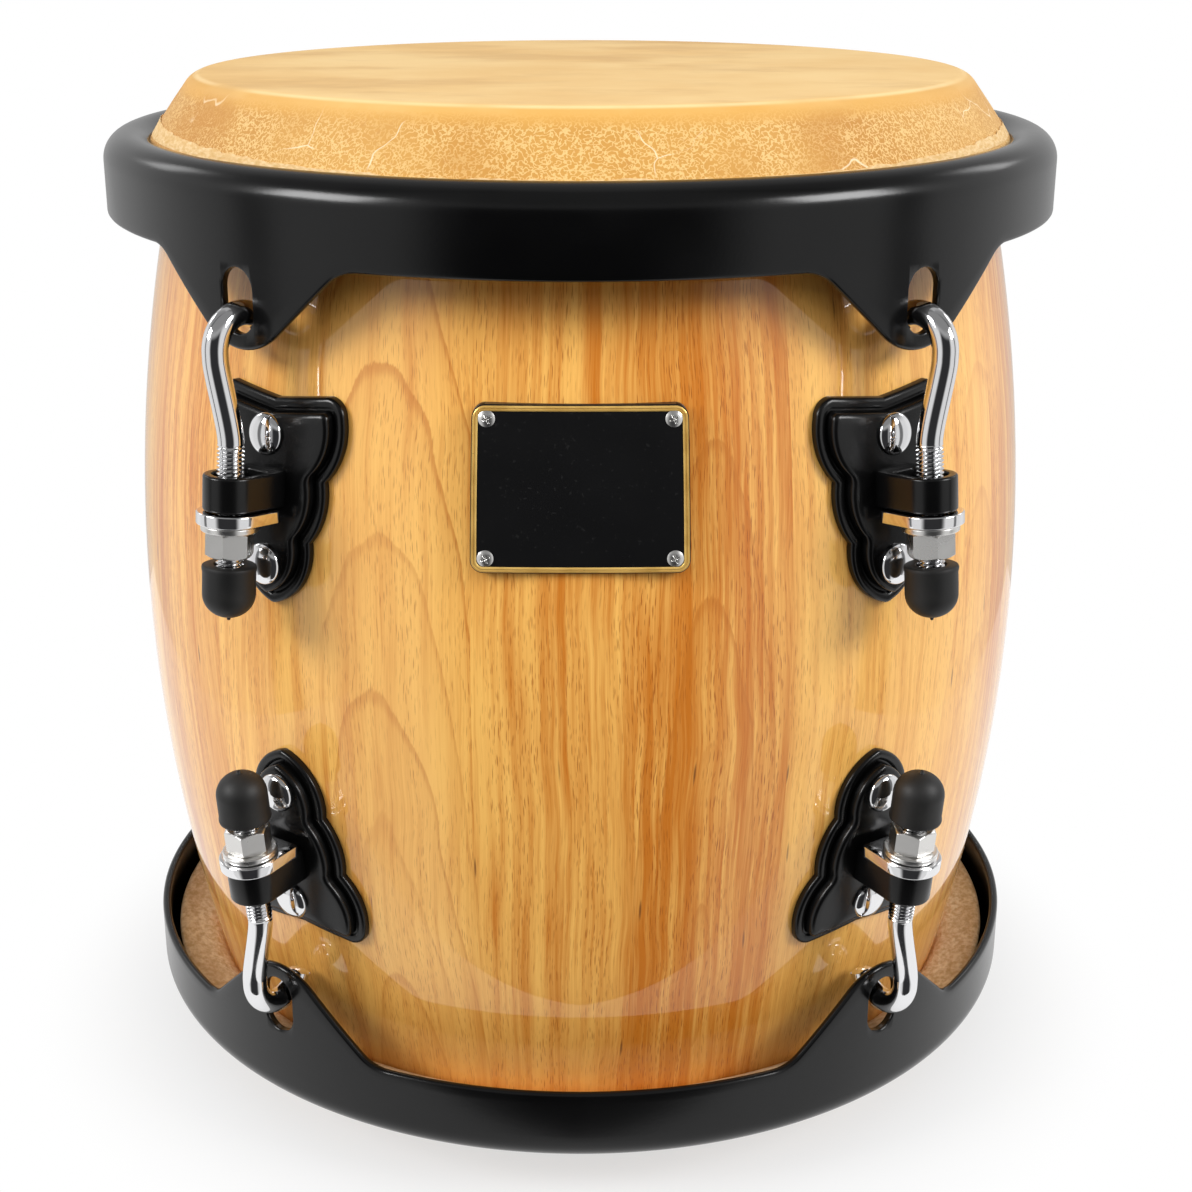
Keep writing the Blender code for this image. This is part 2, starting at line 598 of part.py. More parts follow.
def build():
    """The whole drum, piece by piece."""
    for existing in list(bpy.data.objects):
        bpy.data.objects.remove(existing)
    drum = bpy.data.collections.new("barrel_drum")
    bpy.context.scene.collection.children.link(drum)

    wood = finish("oiled_wood", (0.72, 0.46, 0.19), 0.25, 0)
    rawhide = finish("rawhide", (0.78, 0.58, 0.30), 0.55, 0)
    steel = finish("steel_wire", (0.55, 0.55, 0.56), 0.4, 1)
    coating = finish("black_powder_coat", (0.02, 0.02, 0.021), 0.4, 0)
    chrome = finish("chrome", (0.80, 0.80, 0.82), 0.08, 1)
    rubber = finish("black_rubber", (0.018, 0.018, 0.018), 0.6, 0)
    plate_black = finish("badge_black", (0.012, 0.012, 0.013), 0.3, 0)

    middle = Matrix.Translation((0, 0, HALF_HEIGHT))
    add_part("shell", dressed(barrel_mesh(), wood), middle, drum)
    front = middle @ station_matrix(0)
    add_part("badge", dressed(badge_mesh(), plate_black), front, drum)

    skin = dressed(skin_mesh(), rawhide)
    hoop = dressed(hoop_mesh(), steel)
    rim = dressed(rim_mesh(), coating)
    cap = dressed(cap_mesh(), rubber)
    nut = dressed(nut_mesh(), chrome)
    washer = dressed(washer_mesh(), chrome)
    side_plate = dressed(side_plate_mesh(), coating)

    for end, sign in ENDS.items():
        over = Matrix.Identity(4) if sign > 0 else Matrix.Rotation(math.pi, 4, "Y")
        carrier = bpy.data.objects.new(end + "_rim_carrier", None)
        carrier.location = (0, 0, HALF_HEIGHT)
        drum.objects.link(carrier)
        add_part(end + "_skin", skin, middle @ over, drum)
        add_part(end + "_flesh_hoop", hoop, middle @ over, drum)
        add_part(end + "_rim", rim, middle @ over, drum, carrier)
        for number, (angle, ear) in enumerate(zip(LUGS, EARS), start=1):
            tail = f"_{number}"
            flip = Matrix.Identity(4) if sign > 0 else Matrix.Rotation(math.pi, 4, "X")
            station = middle @ station_matrix(angle) @ flip
            rod = station @ ROD_FRAME
            add_part(end + "_side_plate" + tail, side_plate, station, drum)
            add_part(end + "_washer" + tail, washer, rod @ Matrix.Translation((0, 0, WASHER_TOP)), drum)
            add_part(end + "_nut" + tail, nut, rod @ Matrix.Translation((0, 0, NUT_TOP)), drum)
            lead, lift = hook_seat(angle, ear)
            hook = dressed(hook_mesh(sign * lead, lift), chrome)
            add_part(end + "_hook" + tail, hook, station, drum, carrier)
            add_part(end + "_cap" + tail, cap, rod @ Matrix.Translation((0, 0, CAP_TOP)), drum, carrier)


build()
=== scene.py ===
# %% [markdown]
# # A barrel hand drum, dressed for its portrait
# The drum is a wooden barrel with a rawhide head at each end. A steel rim presses on each
# head, and hooks, nuts and side plates pull the rims towards each other. The solid model
# comes in as a fixed frame. This lesson lays fine surfaces over it, piece by piece, with
# numpy: each piece is a formula on a grid of two parameters, worked out as whole arrays.

import bmesh
import bpy
import numpy as np
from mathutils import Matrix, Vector


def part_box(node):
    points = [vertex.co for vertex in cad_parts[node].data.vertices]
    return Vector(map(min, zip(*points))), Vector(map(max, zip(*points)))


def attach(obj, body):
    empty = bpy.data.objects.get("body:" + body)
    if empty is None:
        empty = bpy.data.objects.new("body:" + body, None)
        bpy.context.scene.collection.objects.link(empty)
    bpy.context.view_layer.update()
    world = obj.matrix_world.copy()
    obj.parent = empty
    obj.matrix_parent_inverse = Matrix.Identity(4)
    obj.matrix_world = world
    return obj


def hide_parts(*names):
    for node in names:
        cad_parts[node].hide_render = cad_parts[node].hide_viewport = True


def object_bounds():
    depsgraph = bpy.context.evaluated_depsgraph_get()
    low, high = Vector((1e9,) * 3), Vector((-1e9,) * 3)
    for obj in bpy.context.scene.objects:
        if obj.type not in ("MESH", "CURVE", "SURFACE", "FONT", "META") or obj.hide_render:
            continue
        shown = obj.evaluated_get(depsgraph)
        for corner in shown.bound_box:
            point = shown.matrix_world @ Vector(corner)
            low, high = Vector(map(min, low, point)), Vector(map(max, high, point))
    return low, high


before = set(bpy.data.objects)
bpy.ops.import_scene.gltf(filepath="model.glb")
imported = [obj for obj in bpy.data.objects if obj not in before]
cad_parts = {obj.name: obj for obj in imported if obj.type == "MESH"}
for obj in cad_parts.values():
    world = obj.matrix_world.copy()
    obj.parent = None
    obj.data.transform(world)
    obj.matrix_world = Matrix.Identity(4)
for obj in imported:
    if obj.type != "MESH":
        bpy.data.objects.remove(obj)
CAD_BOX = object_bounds()

# %% [markdown]
# ## Sizes
# Overall sizes are read from the frame, so the surfaces follow the solids. The rest are the
# maker's own measures, in metres. Heights on the drum are counted from its mid height, as if
# for the upper end, because the lower end is the same parts turned over.

# %% Sizes of the drum
MM = 0.001
HALF = (CAD_BOX[1].z - CAD_BOX[0].z) / 2
SHELL_HALF = (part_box("shell")[1].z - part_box("shell")[0].z) / 2
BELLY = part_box("shell")[1].x
RIM_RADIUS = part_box("top_rim")[1].x
END_RADIUS = 134.4 * MM
STAVE_THICKNESS = 12.0 * MM
BEARING_ROUND = 6.0 * MM
GAP = 0.3 * MM               # air between pieces that touch
AROUND = 288                 # steps round the barrel and the heads
ENDS = ("top", "bottom")
LUGS = (36.3, 115.5, 180.0, -115.5, -36.3)      # degrees from the front
EARS = (38.4, 115.5, 180.0, -115.5, -38.4)
STATIONS = [(end, number, lug, ear) for end in ENDS
            for number, (lug, ear) in enumerate(zip(LUGS, EARS), 1)]


def barrel_radius(height):
    """A parabola: the belly's radius less a share of the taper that grows with height squared."""
    return BELLY - (BELLY - END_RADIUS) * (height / SHELL_HALF) ** 2


def barrel_lean(height):
    """Angle of the barrel's side from the vertical: the arc tangent of the parabola's slope."""
    return np.arctan(2 * (BELLY - END_RADIUS) * height / SHELL_HALF ** 2)


print("drum height", round(2 * HALF / MM), "mm, rim", round(2 * RIM_RADIUS / MM), "mm across")

# %% [markdown]
# ## From grids to meshes
# A grid of points becomes quads between neighbours. A turned piece is a profile carried round
# the axis, and a rod is a circle carried along a path. Copies at the lug stations are the same
# points moved by a matrix, so each finished object sits at the origin with its place in its mesh.


# %% Grid tools
def grid(points, closed=False):
    """Vertices and quads of an array of rows x columns x 3. The last row meets the first, and in a
    closed section so do the columns."""
    rows, columns = points.shape[:2]
    index = np.arange(rows * columns).reshape(rows, columns)
    index = np.vstack([index, index[:1]])
    if closed:
        index = np.hstack([index, index[:, :1]])
    corners = (index[:-1, :-1], index[1:, :-1], index[1:, 1:], index[:-1, 1:])
    return points.reshape(-1, 3), np.stack(corners, -1).reshape(-1, 4)


def circle(count, start=0.0):
    """Even angles once round, in radians."""
    return np.linspace(start, start + 2 * np.pi, count, endpoint=False)


def polar(radius, angle, height):
    """Points round Z, a row for each angle: x = r cos a, y = r sin a, z = h."""
    cosine, sine = np.cos(angle)[:, None], np.sin(angle)[:, None]
    return np.stack(np.broadcast_arrays(radius * cosine, radius * sine, height), -1)


def revolve(profile, segments):
    """A profile of (radius, height) carried round Z in even steps."""
    radius, height = np.asarray(profile, float).T
    return polar(radius, circle(segments), height)


def arc(centre, radius, start, stop, count):
    """Points on a circle from one angle to another, in degrees."""
    angle = np.radians(np.linspace(start, stop, count))
    return np.stack([centre[0] + radius * np.cos(angle), centre[1] + radius * np.sin(angle)], -1)


def moved(points, matrix):
    """Points after a 4 x 4 matrix: the rotation times each point, plus the shift."""
    return points @ matrix[:3, :3].T + matrix[:3, 3]


def turn(axis, degrees):
    """A 4 x 4 rotation about X, Y or Z by the right-hand rule."""
    c, s = np.cos(np.radians(degrees)), np.sin(np.radians(degrees))
    i, j = {"X": (1, 2), "Y": (2, 0), "Z": (0, 1)}[axis]
    matrix = np.eye(4)
    matrix[i, i], matrix[i, j], matrix[j, i], matrix[j, j] = c, -s, s, c
    return matrix


def shift(x, y, z):
    """A 4 x 4 translation."""
    matrix = np.eye(4)
    matrix[:3, 3] = x, y, z
    return matrix


MIDDLE = shift(0, 0, HALF)
END_MATRIX = {"top": MIDDLE, "bottom": MIDDLE @ turn("Y", 180)}


def station(end, angle):
    """Places +X outward at an angle from the front, and turns a lower lug upside down."""
    flip = np.eye(4) if end == "top" else turn("X", 180)
    return MIDDLE @ turn("Z", angle - 90) @ flip


WELD = 0.002 * MM
SHARP = 40                   # degrees, edges sharper than this stay crisp


def build(name, surfaces, matrix, material, body, node=None, sharp=SHARP):
    """One finished piece out of several grids: placed, welded, faces out, riding on its body."""
    points, faces, start = [], [], 0
    for vertices, quads in surfaces:
        points.append(moved(vertices, matrix))
        faces.append(quads + start)
        start += len(vertices)
    mesh = bpy.data.meshes.new(name)
    mesh.from_pydata(np.vstack(points).tolist(), [], np.vstack(faces).tolist())
    weld = bmesh.new()
    weld.from_mesh(mesh)
    bmesh.ops.remove_doubles(weld, verts=weld.verts, dist=WELD)
    bmesh.ops.dissolve_degenerate(weld, edges=weld.edges, dist=WELD / 2)
    bmesh.ops.recalc_face_normals(weld, faces=weld.faces)
    weld.to_mesh(mesh)
    weld.free()
    mesh.materials.append(material)
    mesh.shade_smooth()
    mesh.set_sharp_from_angle(angle=np.radians(sharp))
    piece = bpy.data.objects.new(name, mesh)
    bpy.context.scene.collection.objects.link(piece)
    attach(piece, body)
    if node:
        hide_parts(node)
    return piece


# %% [markdown]
# ## Shader maths as Python
# A shader socket is wrapped in a small class, so that `1 - mask` adds a Math node. Every other
# node comes from one method: its settings go first, then its sockets' values or links.


# %% The socket class
class Wire:
    """A shader socket that can be used in expressions."""

    def __init__(self, tree, socket=None):
        self.tree = tree
        self.socket = socket

    def node(self, kind, settings=None, inputs=None, out=0):
        """Adds a node, sets it up, feeds its sockets and gives one of its outputs."""
        made = self.tree.nodes.new(kind)
        for key, value in (settings or {}).items():
            if key == "stops":
                made.color_ramp.interpolation = "CONSTANT"
                stops = made.color_ramp.elements
                for position, _ in value[2:]:
                    stops.new(position)
                for stop, (position, colour) in zip(stops, sorted(value)):
                    stop.position = position
                    stop.color = (*colour, 1)
            else:
                setattr(made, key, value)
        for key, value in (inputs or {}).items():
            if isinstance(value, Wire):
                self.tree.links.new(value.socket, made.inputs[key])
            else:
                made.inputs[key].default_value = value
        return Wire(self.tree, made.outputs[out])

    def math(self, operation, *others):
        """A Math node on this value and up to two more."""
        return self.node("ShaderNodeMath", {"operation": operation}, dict(enumerate((self, *others))))

    def __add__(self, other):
        return self.math("ADD", other)

    __radd__ = __add__

    def __sub__(self, other):
        return self.math("SUBTRACT", other)

    def __rsub__(self, other):
        return (self * -1.0) + other

    def __mul__(self, other):
        return self.math("MULTIPLY", other)

    __rmul__ = __mul__

    def __truediv__(self, other):
        return self.math("DIVIDE", other)

    def __rtruediv__(self, other):
        return self.math("POWER", -1.0) * other

    def __pow__(self, other):
        return self.math("POWER", other)

    def ease(self, low, high):
        """0 below one value, 1 above another, and a smooth step between them."""
        return self.node("ShaderNodeMapRange", {"interpolation_type": "SMOOTHSTEP"},
                         {"Value": self, "From Min": low, "From Max": high})

    def mix(self, first, second):
        """A colour between two, by this share."""
        return self.node("ShaderNodeMix", {"data_type": "RGBA"},
                         {"Factor": self, 6: first, 7: second}, out=2)

    def vector(self, y, z):
        """A vector with this as its x."""
        return self.node("ShaderNodeCombineXYZ", {}, {"X": self, "Y": y, "Z": z})

    def noise(self, scale, detail=2.0, roughness=0.5):
        """Noise at this vector, from about 0.2 to 0.8."""
        return self.node("ShaderNodeTexNoise", {},
                         {"Vector": self, "Scale": scale, "Detail": detail, "Roughness": roughness})


def rgb(red, green, blue):
    """A colour socket's value from its three linear parts."""
    return (red, green, blue, 1.0)


def finish(name, **plain):
    """A Principled material with plain socket values, its shader and a wire to start from."""
    material = bpy.data.materials.new(name)
    material.use_nodes = True
    shader = material.node_tree.nodes["Principled BSDF"]
    for socket, value in plain.items():
        shader.inputs[socket.replace("_", " ").title().replace("Ior", "IOR")].default_value = value
    return material, shader, Wire(material.node_tree)


def feed(shader, **wires):
    """Links wires to a shader's sockets."""
    for socket, wire in wires.items():
        wire.tree.links.new(wire.socket, shader.inputs[socket.replace("_", " ").title()])


def parts(vector):
    """The x, y and z of a vector."""
    return [vector.node("ShaderNodeSeparateXYZ", {}, {0: vector}, out=axis) for axis in range(3)]


def place(start):
    """Object coordinates and their x, y and z."""
    spot = start.node("ShaderNodeTexCoord", out="Object")
    return spot, *parts(spot)


def rays(start):
    """Light Path's camera ray, and its glossy and transmission rays added up."""
    camera, glossy, through = (start.node("ShaderNodeLightPath", out=f"Is {kind} Ray")
                               for kind in ("Camera", "Glossy", "Transmission"))
    return camera, glossy + through


def bumped(height, strength, distance):
    """A normal that is tilted by a height."""
    return height.node("ShaderNodeBump", {},
                       {"Height": height, "Strength": strength, "Distance": distance})


# %% [markdown]
# ## Lacquered stave wood
# The barrel is glued up from flat-sawn boards, each with its own tone. Growth rings show as
# pointed arches where a board cuts the trunk at a slant: a ring is a circle round the pith, so
# its line is where the distance to a slanting pith is constant. Pores are short dark dashes
# along the grain. Shade from the rims is painted into the colour, darker towards the top and
# bottom of the barrel, and a clear lacquer lies over it all.

# %% Stave wood
STAVE_COUNT = 20
STAVE_PHASE = 6.0            # degrees from the front to the nearest stave joint
RING_SPACING = 6.5 * MM
PITH_DEPTH = 16.0 * MM
PITH_SLOPE = 0.13
BOARD_SEED = 97891
BOARD_LUCK = np.random.default_rng(BOARD_SEED).uniform(0, 1, (STAVE_COUNT, 3))


def stave_wood():
    """Boards by angle round the drum, arches by distance to the pith, and dashes of pores."""
    material, shader, start = finish("stave_wood", coat_weight=0.9, coat_roughness=0.03, coat_ior=1.55,
                                     specular_ior_level=0.2)
    spot, x, y, z = place(start)
    boards = (x.math("ARCTAN2", y * -1.0) - np.radians(STAVE_PHASE)) * (STAVE_COUNT / (2 * np.pi))
    board = boards.math("FLOOR").math("FLOORED_MODULO", float(STAVE_COUNT))
    width = 2 * np.pi * BELLY / STAVE_COUNT
    across = (boards.math("FRACT") - 0.5) * width
    stops = [(number / STAVE_COUNT, tuple(luck)) for number, luck in enumerate(BOARD_LUCK)]
    luck = start.node("ShaderNodeValToRGB", {"stops": stops}, {0: (board + 0.5) / float(STAVE_COUNT)})
    tone, pith_side, pith_height = parts(luck)

    def drawn_out(base, wide, tall, slice_step, detail=2.0, roughness=0.5):
        """Noise that is stretched along the board; each board shows a slice of its own."""
        return (base * wide).vector(z * tall, board * slice_step).noise(1.0, detail, roughness)

    drift = drawn_out(across, 12.0, 13.0, 3.7) - 0.5
    grain = across + drift * (9 * MM)
    fibres = drawn_out(grain, 1700.0, 26.0, 5.0, 3.0, 0.6)
    streaks = drawn_out(grain, 480.0, 12.0, 9.0, 3.0, 0.6)
    ribbons = drawn_out(grain, 230.0, 9.0, 6.0)
    bands = drawn_out(grain, 110.0, 3.5, 4.0)
    clouds = drawn_out(across, 30.0, 14.0, 2.0)

    side = across + (pith_side - 0.5) * (1.3 * width) + drift * (5 * MM)
    depth = (z - pith_height * 0.3) * PITH_SLOPE + PITH_DEPTH + drift * (6 * MM)
    ring = ((side * side + depth * depth) ** 0.5) / RING_SPACING
    ring = ring + drawn_out(across, 30.0, 14.0, 3.1) * 0.6 + fibres * 0.10
    year = ring.math("FLOOR") + board * 13.0
    weight = year.node("ShaderNodeTexWhiteNoise", {"noise_dimensions": "1D"}, {"W": year})
    ring = ring.math("FRACT")
    late = (ring ** 3.0 * 0.45 + ring.ease(0.86, 0.95) * 0.55) * (1.0 - ring.ease(0.975, 1.0))
    slab = 1.0 - (pith_side - 0.5).math("ABSOLUTE").ease(0.18, 0.30)
    late = late * (weight * 0.8 + 0.2) * (slab * 0.9 + 0.1)

    def dashes(wide, tall):
        """Distance to the middles of cells that are stretched along the grain."""
        cell = (grain * wide + board * 37.7).vector(z * tall + board * 11.3, 0.0)
        return cell.node("ShaderNodeTexVoronoi", {"voronoi_dimensions": "2D"},
                         {"Vector": cell, "Scale": 1.0})

    crowd = drawn_out(across, 110.0, 10.0, 11.0).ease(0.36, 0.60)
    pores = ((1.0 - dashes(900.0, 70.0).ease(0.07, 0.19)) * (crowd * 0.7 + 0.3)
             + (1.0 - dashes(1250.0, 130.0).ease(0.07, 0.19)) * crowd * 0.7)
    flecks = (1.0 - dashes(110.0, 12.0).ease(0.015, 0.06)) * bands.ease(0.54, 0.62)

    lines = (streaks - 0.5) * 1.5 + (ribbons - 0.5) * 1.4
    value = tone * 0.55 + (clouds - 0.5) * 0.5 + (bands - 0.5) * 0.9 + (fibres - 0.5) * 0.8 + 0.18
    value = value + lines * (tone * 0.6 + 0.40)
    colour = value.ease(-0.05, 1.05).mix(rgb(0.97, 0.545, 0.135), rgb(0.60, 0.180, 0.014))
    colour = (late * 0.7).mix(colour, rgb(0.54, 0.165, 0.016))
    # Painted shade: the colour darkens towards the top and bottom of the barrel, where the rims shade it.
    painted_end_shade = (z - HALF).math("ABSOLUTE").ease(80 * MM, 165 * MM)
    colour = (painted_end_shade * 0.55).mix(colour, rgb(0.55, 0.185, 0.016))
    colour = (pores.math("MINIMUM", 1.0) * (tone * 0.4 + 0.45)).mix(colour, rgb(0.36, 0.085, 0.006))
    colour = (flecks * 0.8).mix(colour, rgb(0.15, 0.045, 0.01))
    feed(shader, base_color=colour, roughness=0.34 + fibres * 0.10,
         normal=bumped(spot.noise(9.0, 1.0), 0.05, 2 * MM))
    return material


WOOD = stave_wood()
print("wood:", STAVE_COUNT, "staves of about", round(2 * np.pi * BELLY / STAVE_COUNT / MM), "mm")

# %% [markdown]
# ## The barrel
# One closed profile runs down the outside, round the lower bearing edge, up the inside and
# round the upper edge. Carried round the axis it gives the hollow shell.


# %% Barrel
def bearing_edge():
    """Centre of the round on the upper bearing edge, and the lean where it meets the side."""
    height = SHELL_HALF - BEARING_ROUND
    lean = barrel_lean(height)
    radius = barrel_radius(height + BEARING_ROUND * np.sin(lean)) - BEARING_ROUND * np.cos(lean)
    return np.array([radius, height]), np.degrees(lean)


def barrel_surface():
    """Outside parabola and inside parabola, a stave's thickness apart, joined over both edges."""
    centre, lean = bearing_edge()
    edge = arc(centre, BEARING_ROUND, 90, lean, 9)
    heights = np.linspace(edge[-1, 1], -edge[-1, 1], 121)[1:-1]
    outside = np.stack([barrel_radius(heights), heights], -1)
    levels = np.linspace(-SHELL_HALF, SHELL_HALF, 41)
    inside = np.stack([barrel_radius(levels) - STAVE_THICKNESS, levels], -1)
    profile = np.vstack([edge, outside, edge[::-1] * (1, -1), inside])
    return grid(revolve(profile, AROUND), closed=True)


shell = build("barrel_shell", [barrel_surface()], MIDDLE, WOOD, "barrel", "shell")
print("barrel:", len(shell.data.polygons), "faces")

# %% [markdown]
# ## Rawhide
# A calfskin head dries hard and cloudy. Its flat is pale with soft stains, and the collar that
# bends down to the hoop is golden with a net of pale veins. A pale highlight along the bearing
# edge is painted into the colour. Where it is tucked, the flesh side shows as coarse brushed
# fibres, and the wood's orange reflection and shade are painted in close to the barrel.


# %% Rawhide finish
def rawhide():
    """Clouds and smears on the flat; on the collar pale worms, the level lines of a fine noise."""
    material, shader, start = finish("rawhide", specular_ior_level=0.35)
    spot, x, y, z = place(start)
    drop = HALF - (z - HALF).math("ABSOLUTE")
    collar = drop.ease(1.0 * MM, 4.5 * MM)
    edge = drop.ease(0.3 * MM, 1.2 * MM) * (1.0 - drop.ease(3.5 * MM, 7.0 * MM))
    # line: a thin pale band where the flat starts to bend over the bearing edge, a painted highlight.
    line = drop.ease(0.05 * MM, 0.35 * MM) * (1.0 - drop.ease(0.5 * MM, 1.1 * MM))
    clouds = spot.noise(11.0, 4.0, 0.55)
    smears = (x * 11.0).vector(y * 21.0, z * 26.0).noise(1.0, 5.0, 0.62)
    level = spot.noise(720.0, 1.0)
    worms = 1.0 - (level - 0.5).math("ABSOLUTE").ease(0.02, 0.085)
    patch = spot.noise(24.0, 3.0).ease(0.36, 0.60)
    flecks = spot.noise(420.0, 2.0).ease(0.63, 0.73)
    warp = spot.node("ShaderNodeVectorMath", {"operation": "MULTIPLY_ADD"},
                     {0: spot.node("ShaderNodeTexNoise", {}, {"Vector": spot, "Scale": 60.0}, out=1),
                      1: (0.012, 0.012, 0.012), 2: spot})
    cracks = warp.node("ShaderNodeTexVoronoi", {"feature": "DISTANCE_TO_EDGE"},
                       {"Vector": warp, "Scale": 34.0})
    scratches = (1.0 - cracks.ease(0.002, 0.010)) * spot.noise(30.0, 2.0).ease(0.54, 0.60)

    flat = clouds.ease(0.34, 0.66).mix(rgb(0.88, 0.605, 0.255), rgb(0.79, 0.495, 0.180))
    flat = (smears.ease(0.46, 0.70) * 0.75).mix(flat, rgb(0.66, 0.39, 0.135))
    golden = clouds.ease(0.34, 0.66).mix(rgb(0.64, 0.335, 0.072), rgb(0.54, 0.245, 0.042))
    golden = (worms * (patch * 0.60 + 0.12)).mix(golden, rgb(0.86, 0.61, 0.26))
    golden = (flecks * (0.5 - patch * 0.2)).mix(golden, rgb(0.56, 0.26, 0.06))
    golden = (scratches * 0.6).mix(golden, rgb(0.98, 0.86, 0.62))
    colour = collar.mix(flat, golden)
    colour = (edge * (patch * 0.35 + 0.45)).mix(colour, rgb(0.70, 0.370, 0.080))
    # Painted highlight: a pale line along the bearing edge, stronger where the patches fall.
    colour = (line * patch * 0.45).mix(colour, rgb(0.96, 0.74, 0.40))
    feed(shader, base_color=colour, roughness=0.42 + clouds * 0.2,
         normal=bumped(level * 0.3 + worms * collar, 0.20, 0.22 * MM))
    return material


def flesh_side(name, dark, light, root):
    """Brushed fibres, stretched round the drum, from dark to light; close to the wood the root colour, a
    painted orange reflection and shade of the wood.
    """
    material, shader, start = finish(name, roughness=0.85)
    spot, x, y, z = place(start)
    angle = x.math("ARCTAN2", y)
    radius = (x * x + y * y) ** 0.5
    fibres = (angle * 55.0).vector(z * 900.0, radius * 500.0).noise(1.0, 4.0, 0.65)
    clouds = spot.noise(40.0, 3.0)
    # Painted reflection and shade: close to the barrel the hide takes on the wood's orange.
    near = 1.0 - (radius + (clouds - 0.5) * (16 * MM)).ease(END_RADIUS + 2 * MM, END_RADIUS + 15 * MM)
    colour = fibres.ease(0.30, 0.72).mix(rgb(*dark), rgb(*light))
    colour = (clouds.ease(0.4, 0.7) * 0.4).mix(colour, rgb(*dark))
    colour = (near * 0.8).mix(colour, rgb(*root))
    feed(shader, base_color=colour, normal=bumped(fibres, 0.6, 1.2 * MM))
    return material


RAWHIDE = rawhide()
# The last colour of each is the wood's orange reflection and shade, painted close to the barrel.
TUCK_HIDE = flesh_side("hide_tuck", (0.56, 0.38, 0.18), (0.87, 0.73, 0.50), (0.62, 0.30, 0.07))
FRAY_HIDE = flesh_side("hide_fray", (0.72, 0.44, 0.16), (0.93, 0.70, 0.40), (0.80, 0.52, 0.22))

# %% [markdown]
# ## The heads
# A head is one sheet: flat, over the bearing edge, out along a straight collar, and round the
# flesh hoop. Its middle line is a list of arcs, and the two faces lie half a thickness to
# each side. Hide is never quite even, so the collar wanders a little. The cut end is packed
# below the hoop, and a frayed strip of it shows between the collar and the rim's lip.

# %% Heads
SKIN = 1.6 * MM
HOOP_WIRE = 3.7 * MM
HOOP_HEIGHT = HALF - 26.3 * MM
HOOP_PLAY = 0.9 * MM
HOOP_RADIUS = barrel_radius(HOOP_HEIGHT) + HOOP_PLAY + HOOP_WIRE
WRAP_END = -110.0            # where the hide ends on the hoop, in degrees
WRAP_STEPS = 22
COLLAR_WANDER = 0.5 * MM


def head_profile(side):
    """Outer or inner face of the head: flat, arc, the line that touches both arcs, and wrap."""
    edge, _ = bearing_edge()
    hoop = np.array([HOOP_RADIUS, HOOP_HEIGHT])
    bend, wrap = BEARING_ROUND + GAP + SKIN / 2, HOOP_WIRE + GAP + SKIN / 2
    run = hoop - edge
    normal = np.degrees(np.arctan2(run[1], run[0]) + np.arccos((bend - wrap) / np.hypot(*run)))
    push = side * SKIN / 2
    over = arc(edge, bend + push, 90, normal, 14)
    flat = np.stack([np.linspace(0, over[0, 0], 24)[:-1], np.full(23, over[0, 1])], -1)
    round_hoop = arc(hoop, wrap + push, normal, WRAP_END, WRAP_STEPS)
    return np.vstack([flat, over, np.linspace(over[-1], round_hoop[0], 14)[1:-1], round_hoop])


def waves(angle, seed, count=7):
    """A smooth closed wander round the drum: a sum of a few cosines with seeded phases."""
    luck = np.random.default_rng(seed)
    order = np.arange(2, 2 + count)
    phase = luck.uniform(0, 2 * np.pi, count)
    size = luck.uniform(0.4, 1.0, count) / order ** 0.7
    return (size * np.cos(np.multiply.outer(angle, order) + phase)).sum(-1) / size.sum()


def head_surface(seed):
    """Both faces of the head, the collar's slope pushed in and out by a slow wander."""
    profile = np.vstack([head_profile(1), head_profile(-1)[::-1]])
    points = revolve(profile, AROUND)
    below = np.clip((SHELL_HALF - 2 * MM - profile[:, 1]) / (6 * MM), 0, 1)
    above = np.clip((profile[:, 1] - HOOP_HEIGHT - 6 * MM) / (5 * MM), 0, 1)
    push = 1 + np.outer(waves(circle(AROUND), seed), below * above) * (COLLAR_WANDER / END_RADIUS)
    return points * np.stack([push, push, np.ones_like(push)], -1)


# %% Tucked and frayed ends
TUCK_LEVEL = HALF - 31.6 * MM
TUCK_WIDE, TUCK_TALL = 8.6 * MM, 2.4 * MM        # half its width and height
TUCK_DISH = -0.25
TUCK_PRESS = 0.6 * MM        # how far it is packed against the barrel
FRAY_FOOT = 1.8 * MM         # up the collar from the hoop
# Round the strip's section: share of its climb, and distance off the collar
FRAY_SHARE = np.array([0.0, 0.35, 0.7, 1.0, 1.0, 0.7, 0.35, 0.0])
FRAY_OUT = np.array([0.20, 0.30, 0.42, 0.45, 0.25, 0.16, 0.12, 0.08]) * MM


def tuck_surface(seed):
    """The hide's loose end, packed between barrel and rim: a flat ring, dished, with soft lumps."""
    count, around = 360, np.radians(np.linspace(0, 360, 40, endpoint=False))
    angle = circle(count)
    luck = np.random.default_rng(seed)
    middle = barrel_radius(TUCK_LEVEL) - TUCK_PRESS + TUCK_WIDE
    lumps = 0.10 * waves(angle, seed)[:, None] + 0.08 * waves(angle * 5, seed + 1)[:, None]
    fuzz = luck.normal(0, 0.02, (count, len(around)))
    puff = 1 + np.where(np.sin(around) < 0, lumps + fuzz, 0)
    cosine, sine = np.cos(around), np.sin(around)
    radius = middle + TUCK_WIDE * np.sign(cosine) * np.abs(cosine) ** 0.7 * np.ones((count, 1))
    lift = TUCK_TALL * np.sign(sine) * np.abs(sine) ** 0.8 * puff
    return polar(radius, angle, TUCK_LEVEL + TUCK_DISH * (radius - middle) + lift)


